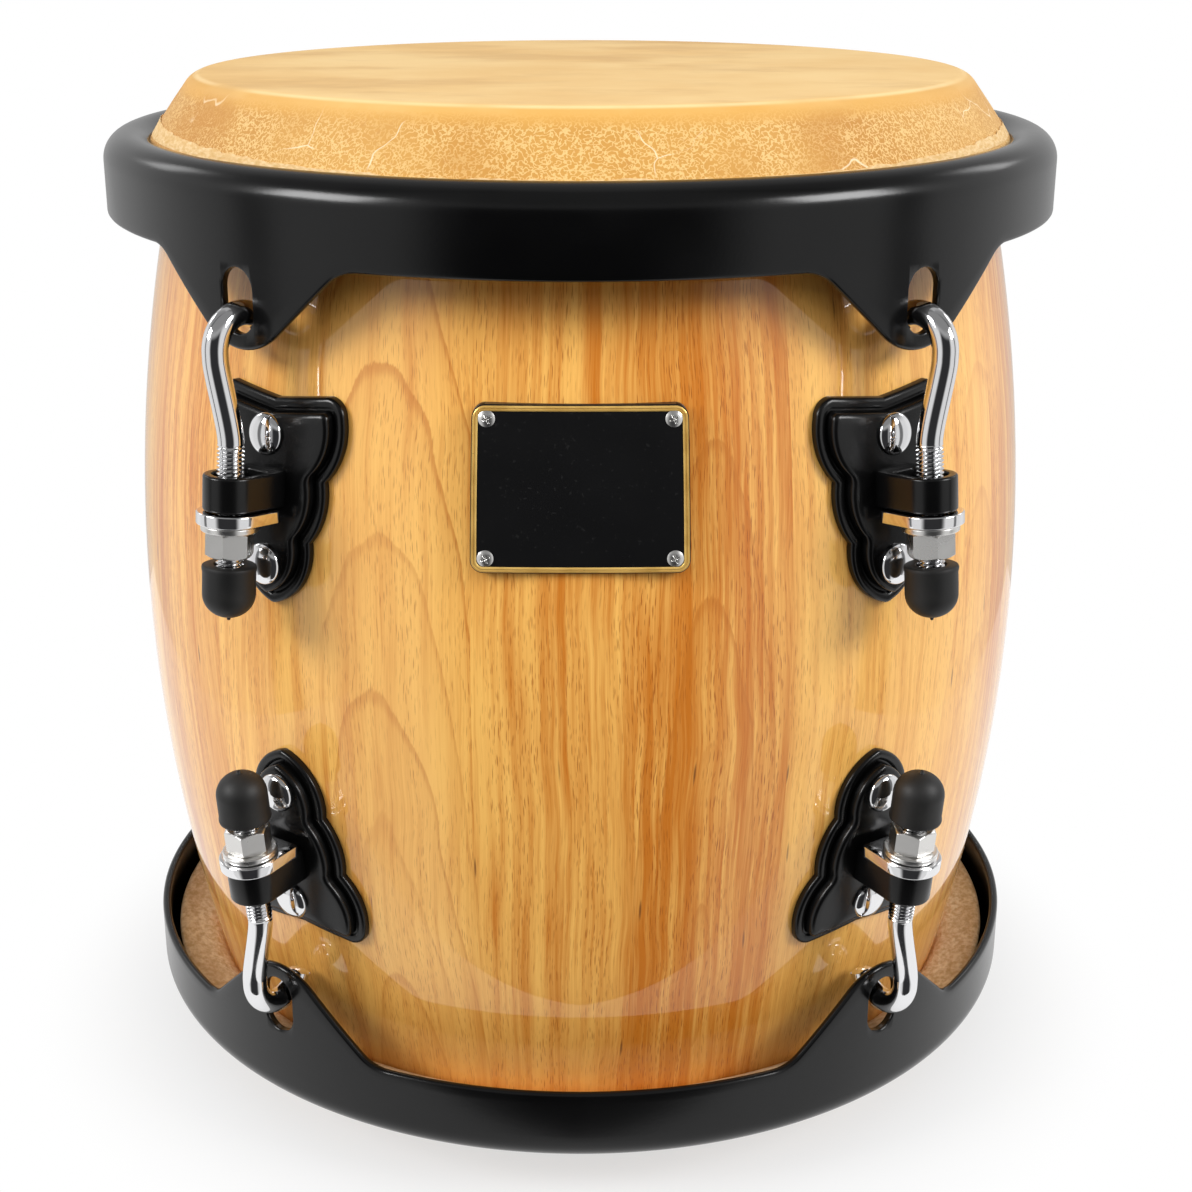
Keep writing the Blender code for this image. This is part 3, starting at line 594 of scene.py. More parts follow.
def fray_surface(seed):
    """A thin strip of cut hide that climbs the collar: high flaps to both sides, a noisy free edge."""
    count = 900
    angle = circle(count)
    luck = np.random.default_rng(seed)
    nibble = np.convolve(luck.uniform(-1, 1, count + 8), np.ones(5) / 5, "same")[4:-4] * 1.6
    left = np.clip(-np.cos(angle - np.radians(12)), 0, 1) ** 5.0
    right = np.clip(np.cos(angle + np.radians(8)), 0, 1) ** 6.0
    rise = 0.6 + 5.5 * left + 4.0 * right + 0.9 * waves(angle, seed + 2) + 0.55 * nibble
    rise = rise.clip(0.15) * MM
    foot, above = head_profile(1)[[-WRAP_STEPS - 1, -WRAP_STEPS - 8]]
    slope = (above - foot) / np.hypot(*(above - foot))
    climb = np.outer(rise, FRAY_SHARE) + FRAY_FOOT
    loose = np.clip(rise / MM - 2.5, 0, 2.5) / 2.5
    ripple = np.outer((0.25 * nibble + 0.3 * waves(angle * 4, seed + 3)) * loose * MM, FRAY_SHARE ** 4)
    off = FRAY_OUT + ripple.clip(0)
    radius = foot[0] + climb * slope[0] + off * slope[1]
    return polar(radius, angle, foot[1] + climb * slope[1] - off * slope[0])


for number, end in enumerate(ENDS):
    hide = grid(head_surface(10 + number))
    fray = grid(fray_surface(20 + number), closed=True)
    tuck = grid(tuck_surface(30 + number), closed=True)
    build(end + "_head", [hide], END_MATRIX[end], RAWHIDE, "barrel", end + "_skin")
    build(end + "_head_fray", [fray], END_MATRIX[end], FRAY_HIDE, "barrel")
    build(end + "_head_tuck", [tuck], END_MATRIX[end], TUCK_HIDE, "barrel")
print("heads: two, each wrapped at", round(HOOP_RADIUS / MM, 1), "mm from the axis")

# %% [markdown]
# ## Black satin powder coat
# Rims and plates are sprayed with powder and baked. The coat is near black and satin, with a
# faint orange-peel ripple that breaks up its highlights.


# %% Powder coat
def powder_coat(name, roughness, peel):
    """Near-black with a fine ripple in its normal and slow changes of gloss."""
    material, shader, start = finish(name, specular_ior_level=0.34)
    spot = place(start)[0]
    ripple = spot.noise(peel, 2.0)
    haze = spot.noise(24.0, 3.0)
    colour = haze.ease(0.3, 0.7).mix(rgb(0.0014, 0.0014, 0.0015), rgb(0.0030, 0.0030, 0.0031))
    feed(shader, base_color=colour, roughness=(haze - 0.5) * 0.10 + roughness,
         normal=bumped(ripple, 0.10, 0.12 * MM))
    return material


RIM_BLACK = powder_coat("rim_powder_coat", 0.21, 900.0)
PLATE_BLACK = powder_coat("plate_powder_coat", 0.25, 1200.0)

# %% [markdown]
# ## The rims
# A rim is spun from sheet: a vertical band whose top rolls inwards over the hoop. Its free edge
# dips into five ears. The section is one closed loop, lip to crest to band and back, whose
# foot follows the eared edge, so one grid holds the whole rim. Slots are cut through it last.

# %% Rim section and ears
RIM_WALL = 3.0 * MM
RIM_EDGE = HALF - 45.2 * MM
LIP_ANGLE = 140.0
SEAT_ANGLE = 55.0
EAR_DROP = 27.0 * MM
EAR_HALF_WIDTH = 39.0 * MM
EAR_TIP_RADIUS = 22.0 * MM
EAR_FILLET = 15.0 * MM
EAR_TIP = RIM_EDGE - EAR_DROP
HOOK_ROD = 4.0 * MM
SLOT_RADIUS = HOOK_ROD + 2.5 * MM
SLOT_LOW = EAR_TIP + 5.0 * MM
SLOT_HIGH = RIM_EDGE - 2.0 * MM


def ear_edge(away):
    """Edge height by distance from an ear's middle: tip arc, straight flank, fillet, plain band."""
    rise = EAR_DROP - EAR_TIP_RADIUS
    slope = np.arctan2(rise, EAR_HALF_WIDTH) + np.arcsin(EAR_TIP_RADIUS / np.hypot(EAR_HALF_WIDTH, rise))
    tip = arc((0, EAR_TIP + EAR_TIP_RADIUS), EAR_TIP_RADIUS, -90, np.degrees(slope) - 90, 24)
    run_out = EAR_FILLET * np.tan(slope / 2)
    fillet = arc((EAR_HALF_WIDTH + run_out, RIM_EDGE - EAR_FILLET), EAR_FILLET,
                 np.degrees(slope) + 90, 90, 24)
    outline = np.vstack([tip, fillet])
    return np.interp(away, outline[:, 0], outline[:, 1])


def rim_surface():
    """A closed section carried round the axis; the part below the roll stretches to the edge."""
    count = 1080
    azimuth = np.linspace(-180, 180, count, endpoint=False)
    apart = np.abs((azimuth[:, None] - np.array(EARS) + 180) % 360 - 180).min(1)
    foot = ear_edge(np.radians(apart) * RIM_RADIUS)

    wrap = HOOP_WIRE + 2 * GAP + SKIN
    lip = (HOOP_RADIUS + wrap * np.cos(np.radians(SEAT_ANGLE)),
           HOOP_HEIGHT + wrap * np.sin(np.radians(SEAT_ANGLE)))
    roll = (RIM_RADIUS - lip[0]) / (1 - np.cos(np.radians(LIP_ANGLE)))
    centre = (RIM_RADIUS - roll, lip[1] - roll * np.sin(np.radians(LIP_ANGLE)))
    middle = roll - RIM_WALL / 2
    lip_end = arc(centre, middle, LIP_ANGLE, LIP_ANGLE, 1)[0]
    nose = arc(lip_end, RIM_WALL / 2, LIP_ANGLE + 150, LIP_ANGLE + 30, 5)
    section = np.vstack([nose, arc(centre, roll, LIP_ANGLE, 0, 22)])
    back = arc(centre, roll - RIM_WALL, 0, LIP_ANGLE, 14)
    toe = arc((RIM_RADIUS - RIM_WALL / 2, 0), RIM_WALL / 2, 0, -180, 9)
    share = np.linspace(0, 1, 8)[1:-1]

    def carried(fixed):
        """Section points that are the same all round."""
        return np.broadcast_to(fixed, (count, len(fixed), 2))

    base = foot + RIM_WALL / 2
    toe_rows = np.stack([np.broadcast_to(toe[:, 0], (count, len(toe))), base[:, None] + toe[:, 1]], -1)
    drop = centre[1] + np.outer(base - centre[1], share)
    outer_wall = np.stack([np.full_like(drop, RIM_RADIUS), drop], -1)
    inner_wall = np.stack([np.full_like(drop, RIM_RADIUS - RIM_WALL), drop], -1)[:, ::-1]
    loop = np.concatenate([carried(section), outer_wall, toe_rows, inner_wall, carried(back)], 1)
    return polar(loop[..., 0], np.radians(azimuth - 90), loop[..., 1])


# %% Slots
def slot_cutter():
    """A stadium carried through the wall, flared at both faces so that the cut's edges are round."""
    flare = 0.8 * MM
    lower = arc((0, SLOT_LOW + SLOT_RADIUS), SLOT_RADIUS, -180, 0, 25)
    upper = arc((0, SLOT_HIGH - SLOT_RADIUS), SLOT_RADIUS, 0, 180, 25)
    outline = np.vstack([lower, upper])
    middle = np.array([0, (SLOT_LOW + SLOT_HIGH) / 2])
    outward = np.concatenate([np.linspace(-180, 0, 25), np.linspace(0, 180, 25)])
    normal = np.stack([np.cos(np.radians(outward)), np.sin(np.radians(outward))], -1)
    bend = np.radians(np.linspace(0, 90, 6))
    widen = np.concatenate([[flare + 1.5 * MM], flare * (1 - np.sin(bend)), flare * (1 - np.cos(bend)),
                            [flare + 1.5 * MM]])
    depth = np.concatenate([[-2.2 * MM], -RIM_WALL / 2 + flare * (1 - np.cos(bend)),
                            RIM_WALL / 2 - flare * (1 - np.sin(bend)), [2.2 * MM]])
    rings = outline[None] + widen[:, None, None] * normal[None]
    rings = np.concatenate([np.broadcast_to(middle, rings[:1].shape), rings,
                            np.broadcast_to(middle, rings[:1].shape)])
    depth = np.concatenate([depth[:1], depth, depth[-1:]])
    radius = RIM_RADIUS - RIM_WALL / 2 + depth
    points = np.stack(np.broadcast_arrays(radius[:, None], rings[..., 0], rings[..., 1]), -1)
    return grid(points.transpose(1, 0, 2))


def slotted(piece, cutter):
    """The rim's mesh after the slots are cut."""
    boolean = piece.modifiers.new("Slots", "BOOLEAN")
    boolean.operation = "DIFFERENCE"
    boolean.solver = "MANIFOLD"
    boolean.object = cutter
    graph = bpy.context.evaluated_depsgraph_get()
    mesh = bpy.data.meshes.new_from_object(piece.evaluated_get(graph))
    piece.modifiers.clear()
    piece.data = mesh
    mesh.shade_smooth()
    mesh.set_sharp_from_angle(angle=np.radians(SHARP))
    bpy.data.objects.remove(cutter)


for end in ENDS:
    rim = build(end + "_eared_rim", [grid(rim_surface(), closed=True)], END_MATRIX[end], RIM_BLACK,
                end + "_rim_set", end + "_rim")
    points, quads = slot_cutter()
    holes = [(moved(points, turn("Z", angle - 90)), quads) for angle in EARS]
    cutter = build(end + "_slot_cutter", holes, END_MATRIX[end], RIM_BLACK, end + "_rim_set")
    slotted(rim, cutter)
    print(end, "rim:", len(rim.data.polygons), "faces")

# %% [markdown]
# ## Bright plating and rubber
# Hooks, nuts, washers and screws are chrome-plated steel. Chrome is nearly a mirror, so its
# look comes from what it reflects, and a little haze keeps it from looking drawn. The caps on
# the hooks' ends are matte black rubber.


# %% Chrome and rubber
def chrome(name, roughness, tint):
    """A mirror metal with slow changes of roughness."""
    material, shader, start = finish(name, metallic=1.0, base_color=rgb(*tint))
    spot = place(start)[0]
    haze = spot.noise(160.0, 3.0)
    feed(shader, roughness=(haze - 0.5) * 0.08 + roughness)
    return material


def cap_rubber():
    """Matte black with a fine moulded grain."""
    material, shader, start = finish("cap_rubber", specular_ior_level=0.4)
    spot = place(start)[0]
    grain = spot.noise(1800.0, 2.0)
    haze = spot.noise(90.0, 3.0)
    colour = haze.ease(0.3, 0.7).mix(rgb(0.0060, 0.0060, 0.0060), rgb(0.0115, 0.0110, 0.0105))
    feed(shader, base_color=colour, roughness=(haze - 0.5) * 0.15 + 0.52,
         normal=bumped(grain, 0.15, 0.08 * MM))
    return material


CHROME = chrome("hook_chrome", 0.07, (0.83, 0.83, 0.84))
NUT_PLATE = chrome("nut_plating", 0.28, (0.74, 0.73, 0.71))
RUBBER = cap_rubber()

# %% [markdown]
# ## The lug's own frame
# Each side plate lies against the barrel, so the rod that passes its loop leans with the
# barrel's side. Sizes along the rod are counted from the plate's middle, towards the head.

# %% Lug frame
PLATE_MIDDLE = HALF - 119.2 * MM
PLATE_LEAN = np.degrees(barrel_lean(PLATE_MIDDLE))
GASKET = 2.5 * MM
PLATE = 3.5 * MM
PLATE_FACE = GAP + GASKET + PLATE
FLANGE_RADIUS = 8.8 * MM
LUG_AIR = 5.6 * MM           # from the plate to the nut's flange
STANDOFF = PLATE_FACE + LUG_AIR + FLANGE_RADIUS
PLATE_FRAME = shift(barrel_radius(PLATE_MIDDLE), 0, PLATE_MIDDLE) @ turn("Y", -PLATE_LEAN)
ROD_FRAME = PLATE_FRAME @ shift(STANDOFF, 0, 0)
LOOP_HEIGHT = 11.0 * MM
LOOP_LOW = -0.6 * MM
WASHER_TOP = LOOP_LOW - GAP
WASHER_THICK = 3.8 * MM
NUT_TOP = WASHER_TOP - WASHER_THICK - GAP
FLANGE = 2.0 * MM
NUT_HEIGHT = 8.0 * MM
NUT_LOW = NUT_TOP - FLANGE - NUT_HEIGHT
CAP_AIR = 2.6 * MM           # room for the rim's lift, from nut to cap
CAP_TOP = NUT_LOW - CAP_AIR
CAP_BORE_DEPTH = 11.5 * MM
ROD_END = CAP_TOP - CAP_BORE_DEPTH + GAP
THREAD_START = 20.0 * MM
THREAD_RADIUS = 4.2 * MM
THREAD_PITCH = 1.25 * MM
print("lug: rod", round(STANDOFF / MM, 1), "mm off the barrel, leaning", round(PLATE_LEAN, 1), "degrees")

# %% [markdown]
# ## Tuning hooks
# A hook is a round rod bent over the ear's slot. Its leg swings in a gentle S to meet the loop
# and is threaded below. The thread is a ripple in the rod's radius that climbs one pitch a turn.

# %% Tuning hooks
HOOK_OUTER_GAP = 7.1 * MM      # from the ear's outer face to the rod
HOOK_INNER_GAP = 2.6 * MM
HOOK_LEG = RIM_RADIUS + HOOK_OUTER_GAP + HOOK_ROD
HOOK_BEND = (HOOK_OUTER_GAP + RIM_WALL + HOOK_INNER_GAP) / 2 + HOOK_ROD
HOOK_CENTRE = HOOK_LEG - HOOK_BEND
HOOK_TURN = 160.0
HOOK_STRAIGHT = 2 * MM
HOOK_SIDE_SHIFT = 1.6 * MM     # a front hook sits to its lug's side of the slot
HOOK_SIDE_LIFT = 0.8 * MM      # and rides up the slot's round end


def hook_path(lead, lift):
    """Middle line of the plain rod: bend and straight at the ear, then a cubic S to the thread."""
    inner = HOOK_BEND - HOOK_ROD
    over = HOOK_CENTRE - (RIM_RADIUS - RIM_WALL)
    low = SLOT_LOW + 2 * GAP + lift - np.sqrt(inner ** 2 - over ** 2)
    flat = np.vstack([arc((HOOK_CENTRE, low), HOOK_BEND, HOOK_TURN, 0, 40),
                      [(HOOK_LEG, low - HOOK_STRAIGHT)]])
    bend = moved(np.stack([flat[:, 0], flat[:, 0] * 0, flat[:, 1]], -1), turn("Z", lead))
    start, stop = bend[-1], moved(np.array([0, 0, THREAD_START]), ROD_FRAME)
    pull = 0.55 * np.linalg.norm(stop - start)
    lean = np.radians(PLATE_LEAN)
    leave, arrive = np.array([0, 0, -1]), np.array([np.sin(lean), 0, -np.cos(lean)])
    t = np.linspace(0, 1, 40)[1:, None]
    swing = ((2 * t ** 3 - 3 * t ** 2 + 1) * start + (t ** 3 - 2 * t ** 2 + t) * pull * leave
             + (3 * t ** 2 - 2 * t ** 3) * stop + (t ** 3 - t ** 2) * pull * arrive)
    return np.vstack([bend, swing])


def hook_surface(lead, lift):
    """A circle across the path at every step; the thread's ripple is a triangle wave."""
    plain = hook_path(lead, lift)
    along = np.arange(THREAD_START - 0.2 * MM, ROD_END, -THREAD_PITCH / 8)
    path = np.vstack([plain, moved(np.stack([along * 0, along * 0, along], -1), ROD_FRAME)])
    run = np.gradient(path, axis=0)
    run /= np.linalg.norm(run, axis=1)[:, None]
    round_angle = np.radians(np.linspace(0, 360, 24, endpoint=False))
    deep = np.concatenate([np.full(len(plain), THREAD_START), along])
    wave = np.abs(((deep[:, None] / THREAD_PITCH + round_angle / (2 * np.pi)) % 1) * 2 - 1)
    wave = np.clip((wave - 0.5) * 1.5 + 0.5, 0, 1)
    fade = np.clip((THREAD_START - deep) / (2 * THREAD_PITCH), 0, 1)[:, None]
    radius = HOOK_ROD + fade * ((THREAD_RADIUS - HOOK_ROD) - 0.85 * MM * wave)

    last = len(path) - 1
    order = np.concatenate([[0] * 4, np.arange(1, last), [last] * 4])
    shrink = np.concatenate([[0, 0.5, 0.85, 1], np.ones(last - 1), [1, 0.94, 0.80, 0]])[:, None]
    back = np.concatenate([[-0.9, -0.5, 0.3, 1.4], np.zeros(last - 1), [-0.7, -0.25, 0, 0]])[:, None] * MM
    path, run, radius = path[order] + run[order] * back, run[order], radius[order] * shrink
    side = np.cross(run, (0.0, 1.0, 0.0))
    side /= np.linalg.norm(side, axis=1)[:, None]
    third = np.cross(run, side)
    return (path[:, None] + (radius * np.cos(round_angle))[..., None] * side[:, None]
            + (radius * np.sin(round_angle))[..., None] * third[:, None])


for end, number, lug, ear in STATIONS:
    swing = np.sign(ear - lug)
    lead = ear - lug - swing * np.degrees(HOOK_SIDE_SHIFT / RIM_RADIUS)
    path = hook_surface(lead * (1 if end == "top" else -1), HOOK_SIDE_LIFT * abs(swing))
    hook = grid(path.transpose(1, 0, 2))
    build(f"{end}_tuning_hook_{number}", [hook], station(end, lug), CHROME, end + "_rim_set",
          f"{end}_hook_{number}")
print("hooks: ten, bent to", round(HOOK_BEND / MM, 1), "mm")

# %% [markdown]
# ## Nuts, washers and caps
# A hex nut's side is the flat's distance divided by a cosine that repeats six times a turn, and
# its corners are turned off by a cone. The D-shaped washer's outline is a half round and a
# square. The rubber cap is a plain turned cup with a moulding nub.


# %% Nuts
def nut_surface():
    """Rows of bore, faces and six flats; a cone limits the corners near both faces."""
    angle = circle(120)
    flat = 6.5 * MM
    corner = flat / np.cos((angle + np.pi / 6) % (np.pi / 3) - np.pi / 6)
    top, low = -FLANGE, -FLANGE - NUT_HEIGHT
    bore = THREAD_RADIUS + 0.25 * MM
    depth = np.concatenate([np.linspace(0, 1, 8) ** 1.5 * 1.3 * MM, [NUT_HEIGHT / 2],
                            NUT_HEIGHT - np.linspace(1, 0, 8) ** 1.5 * 1.3 * MM])
    reach = np.minimum(depth, NUT_HEIGHT - depth)
    cone = flat * 0.96 + reach / np.tan(np.radians(30))
    side = np.minimum(corner[:, None], cone)
    inner = np.array([bore, bore, bore + 0.5 * MM])
    rows = np.concatenate([np.broadcast_to(inner, (120, 3)), side,
                           np.broadcast_to(inner[::-1][:1], (120, 1))], 1)
    height = np.concatenate([[low + 0.4 * MM, top - 0.4 * MM, top], top - depth, [low]])
    return polar(rows, angle, height)


def round_washer():
    """A flat ring with rounded outer edges."""
    bore, edge = THREAD_RADIUS + 0.3 * MM, 0.5 * MM
    outer = np.vstack([arc((FLANGE_RADIUS - edge, -edge), edge, 90, 0, 5),
                       arc((FLANGE_RADIUS - edge, edge - FLANGE), edge, 0, -90, 5)])
    profile = np.vstack([[(bore, -FLANGE), (bore, 0)], outer])
    return grid(revolve(profile, 96), closed=True)


NUT_SURFACES = [grid(nut_surface(), closed=True), round_washer()]


# %% D-shaped washers
def evened(outline, count):
    """A closed outline sampled again at even steps along its length."""
    loop = np.vstack([outline, outline[:1]])
    length = np.concatenate([[0], np.hypot(*np.diff(loop, axis=0).T).cumsum()])
    steps = np.linspace(0, length[-1], count, endpoint=False)
    return np.stack([np.interp(steps, length, loop[:, 0]), np.interp(steps, length, loop[:, 1])], -1)


def polar_radius(outline, angle):
    """Distance from the origin to a star-shaped outline along each angle."""
    bearing = np.arctan2(outline[:, 1], outline[:, 0])
    order = np.argsort(bearing)
    return np.interp(angle, bearing[order], np.hypot(*outline[order].T), period=2 * np.pi)


def ringed(inner, outer, height, edge, angle):
    """A plate between two polar outlines, as high as stated, all four edges rounded."""
    bend = np.radians(np.linspace(0, 90, 5))
    out_step, up_step = edge * (1 - np.cos(bend)), edge * (1 - np.sin(bend))
    rows = np.concatenate([inner[:, None] + out_step, outer[:, None] - out_step[::-1],
                           outer[:, None] - out_step, inner[:, None] + out_step[::-1]], 1)
    level = np.concatenate([height - up_step, height - up_step[::-1], up_step, up_step[::-1]])
    return polar(rows, angle, level)


WASHER_RADIUS = 10.2 * MM
WASHER_END_GAP = 2.6 * MM    # from the square end to the plate


def washer_surface():
    """Half round outside, square towards the plate, and a round hole."""
    angle = circle(160, -np.pi)
    square = -(STANDOFF - PLATE_FACE - WASHER_END_GAP)
    corner = 1.2 * MM
    outline = np.vstack([arc((0, 0), WASHER_RADIUS, -90, 90, 60),
                         arc((square + corner, WASHER_RADIUS - corner), corner, 90, 180, 8),
                         arc((square + corner, corner - WASHER_RADIUS), corner, 180, 270, 8)])
    outer = polar_radius(evened(outline, 2000), angle)
    hole = np.full_like(angle, THREAD_RADIUS + 0.5 * MM)
    points = ringed(hole, outer, WASHER_THICK, 0.45 * MM, angle)
    return grid(points - (0, 0, WASHER_THICK), closed=True)


D_WASHER = washer_surface()


# %% Rubber caps
def cap_surface():
    """Cup profile: bore, rolled lip, slightly drawn-in wall, dome and a small nub."""
    bore, radius, length, dome = THREAD_RADIUS + 0.3 * MM, 8.4 * MM, 16.7 * MM, 7.5 * MM
    lip = np.array([(radius - 0.7 * MM, 0), (radius - 0.15 * MM, -0.3 * MM), (radius, -0.8 * MM),
                    (radius - 0.05 * MM, -1.5 * MM), (radius - 0.25 * MM, -2.2 * MM)])
    round_end = arc((0, 0), 1, 0, -84, 22) * (radius - 0.25 * MM, dome) + (0, dome - length)
    nub = np.array([(0.75 * MM, -length - 0.05 * MM), (0.45 * MM, -length - 0.9 * MM),
                    (0, -length - 1.1 * MM)])
    inside = np.array([(0, -CAP_BORE_DEPTH), (bore, -CAP_BORE_DEPTH), (bore, -0.4 * MM),
                       (bore + 0.4 * MM, 0)])
    return grid(revolve(np.vstack([inside, lip, round_end, nub]), 64))


CAP = cap_surface()
for end, number, lug, _ in STATIONS:
    rod = station(end, lug) @ ROD_FRAME
    build(f"{end}_flanged_nut_{number}", NUT_SURFACES, rod @ shift(0, 0, NUT_TOP), NUT_PLATE,
          f"{end}_nut_{number}", f"{end}_nut_{number}", sharp=24)
    build(f"{end}_d_washer_{number}", [D_WASHER], rod @ shift(0, 0, WASHER_TOP), CHROME, "barrel",
          f"{end}_washer_{number}")
    build(f"{end}_rubber_cap_{number}", [CAP], rod @ shift(0, 0, CAP_TOP), RUBBER, end + "_rim_set",
          f"{end}_cap_{number}")
print("nuts, washers and caps: ten of each")

# %% [markdown]
# ## Side plates
# A plate is a shield with wings, in black: a lip all round, a groove, and a raised face. Each
# level is the outline moved inwards. Moved outlines are found on rays from the middle: a ray
# meets the circle round each outline point, and the nearest meeting is where the inset lies.

# %% Side plate outline
PLATE_POINTS = np.array([(0, 31.8), (20.5, 34.3), (26.3, 28.5), (20.0, 8.3), (14.5, -11.5),
                         (0, -33.1)]) * MM
PLATE_SWELLS = np.array([0, 1.5, 2.7, 2.3, 5.0]) * MM


def swell(start, stop, rise, count=60):
    """An arc that bows to the left of its run: sine and cosine of an even share of its angle."""
    run = (stop - start) / np.hypot(*(stop - start))
    left = np.array([-run[1], run[0]])
    half = np.hypot(*(stop - start)) / 2
    if rise == 0:
        return np.linspace(start, stop, count, endpoint=False)
    angle = 2 * np.arctan(rise / half)
    radius = half / np.sin(angle)
    sweep = np.linspace(-angle, angle, count, endpoint=False)[:, None]
    centre = (start + stop) / 2 + left * (rise - radius)
    return centre + radius * (left * np.cos(sweep) + run * np.sin(sweep))


def plate_outline():
    """The right half's arcs from the dip to the tip, and their mirror image."""
    pairs = zip(PLATE_POINTS[:-1], PLATE_POINTS[1:], PLATE_SWELLS)
    right = np.vstack([swell(a, b, rise) for a, b, rise in pairs])
    return evened(np.vstack([right, right[::-1] * (-1, 1)]), 4000)


def inset(outline, angle, distance):
    """Nearest meeting of each ray with circles of this radius round the outline's points."""
    ray = np.stack([np.cos(angle), np.sin(angle)])
    along = outline @ ray
    beside = outline[:, :1] * ray[1] - outline[:, 1:] * ray[0]
    half = np.sqrt(np.maximum(distance ** 2 - beside ** 2, 0))
    meets = (np.abs(beside) < distance) & (along > 0)
    return np.where(meets, along - half, np.inf).min(0)


# %% Side plate and loop
# How far in from the outline, and how high: lip, groove and raised face
LEVELS = np.array([(0.05, 0.0), (0.05, 1.8), (0.3, 2.4), (0.8, 2.75), (1.4, 2.85), (2.3, 2.8), (2.9, 2.6),
                   (3.25, 2.1), (3.4, 1.7), (3.9, 1.7), (4.05, 2.1), (4.1, 4.6), (4.3, 5.3), (4.8, 5.8),
                   (5.6, 6.0)]) * MM


def on_barrel(across, along, height, middle):
    """Wraps flat measures to the barrel: an angle for the distance round, a radius for the height."""
    level = middle + along
    radius = barrel_radius(level) + GAP + height
    angle = across / barrel_radius(middle)
    return np.stack([radius * np.cos(angle), radius * np.sin(angle), level], -1)


def plate_surface():
    """Inset outlines at their heights, then the raised face shrinking to the middle, and a back."""
    angle = circle(480, -np.pi)
    outline = plate_outline()
    reach = np.stack([inset(outline, angle, distance) for distance in LEVELS[:, 0]], 1)
    shrink = np.linspace(0.9, 0, 9)
    rows = np.concatenate([reach[:, :1] * shrink[::-1], reach, reach[:, -1:] * shrink], 1)
    height = np.concatenate([np.zeros(9), LEVELS[:, 1], np.full(9, LEVELS[-1, 1])])
    points = on_barrel(rows * np.cos(angle)[:, None], rows * np.sin(angle)[:, None], height, PLATE_MIDDLE)
    return grid(points)


def loop_surface():
    """A strap that stands out of the plate, round outside, with a long hole for the rod."""
    hole, wall = THREAD_RADIUS + 1.0 * MM, 3.1 * MM
    back = PLATE_FACE + wall - STANDOFF
    centre = (hole + back) / 2
    angle = circle(200, -np.pi)
    root = GAP + GASKET - STANDOFF
    corner = 2 * MM
    outer = np.vstack([arc((0, 0), hole + wall, -90, 90, 60), [(root, hole + wall), (root, -hole - wall)]])
    inner = np.vstack([arc((0, 0), hole, -90, 90, 60),
                       arc((back + corner, hole - corner), corner, 90, 180, 10),
                       arc((back + corner, corner - hole), corner, 180, 270, 10)])
    reach = [polar_radius(evened(outline, 3000) - (centre, 0), angle) for outline in (inner, outer)]
    points = ringed(*reach, LOOP_HEIGHT, 0.8 * MM, angle) + (centre, 0, LOOP_LOW)
    return grid(moved(points, ROD_FRAME), closed=True)


PLATE_SURFACES = [plate_surface(), loop_surface()]

# %% Domed screws
SCREW_RADIUS = 6.6 * MM
SCREW_DOME = 2.8 * MM
SCREW_PLACES = (20.6 * MM, -19.6 * MM)


def screw_surface(along):
    """A shallow dome on a short wall, square to the plate at its place along the middle line."""
    dome = np.vstack([[(SCREW_RADIUS, -0.6 * MM), (SCREW_RADIUS, 0.35 * MM)],
                      arc((0, 0), 1, 4, 90, 20) * (SCREW_RADIUS, SCREW_DOME) + (0, 0.3 * MM)])
    level = PLATE_MIDDLE + along
    lean = np.degrees(barrel_lean(level))
    spot = shift(barrel_radius(level), 0, level) @ turn("Y", 90 - lean) @ shift(0, 0, PLATE_FACE)
    points, quads = grid(revolve(dome, 64))
    return moved(points, spot), quads


SCREWS = [screw_surface(along) for along in SCREW_PLACES]
for end, number, lug, _ in STATIONS:
    spot = station(end, lug)
    build(f"{end}_winged_plate_{number}", PLATE_SURFACES, spot, PLATE_BLACK, "barrel",
          f"{end}_side_plate_{number}")
    build(f"{end}_plate_screws_{number}", SCREWS, spot, CHROME, "barrel")
print("plates: ten, two screws each")

# %% [markdown]
# ## The badge
# A stiff plate, hollow behind to sit on the barrel's round and almost flat in front: black enamel
# inside a raised brass border. It is left plain. Four small cross-head screws hold its corners.


# %% Badge finishes
def enamel():
    """Glossy black with a faint ripple and a few dull specks."""
    material, shader, start = finish("badge_enamel", specular_ior_level=0.4)
    spot = place(start)[0]
    specks = spot.noise(700.0, 2.0).ease(0.66, 0.72)
    haze = spot.noise(60.0, 3.0)
    colour = (specks * 0.5).mix(rgb(0.0045, 0.0045, 0.0048), rgb(0.02, 0.02, 0.02))
    feed(shader, base_color=colour, roughness=0.24 + haze * 0.12, normal=bumped(haze, 0.05, 0.2 * MM))
    return material


def brass():
    """Yellow metal, brushed along the border."""
    material, shader, start = finish("badge_brass", metallic=0.5)
    spot, x, y, z = place(start)
    brush = (x * 300.0).vector(y * 300.0, z * 1500.0).noise(1.0, 3.0)
    tarnish = spot.noise(120.0, 3.0)
    colour = tarnish.ease(0.35, 0.7).mix(rgb(0.86, 0.56, 0.16), rgb(0.68, 0.41, 0.10))
    feed(shader, base_color=colour, roughness=0.22 + brush * 0.2)
    return material


ENAMEL = enamel()
BRASS = brass()

# %% Badge plate and border
BADGE_SIZE = np.array([64.6, 50.0]) * MM
BADGE_CORNER = 4 * MM
BADGE_MIDDLE = HALF - 107.6 * MM
BADGE_FLAT = 0.75            # share of the barrel's round that the stiff plate does not follow
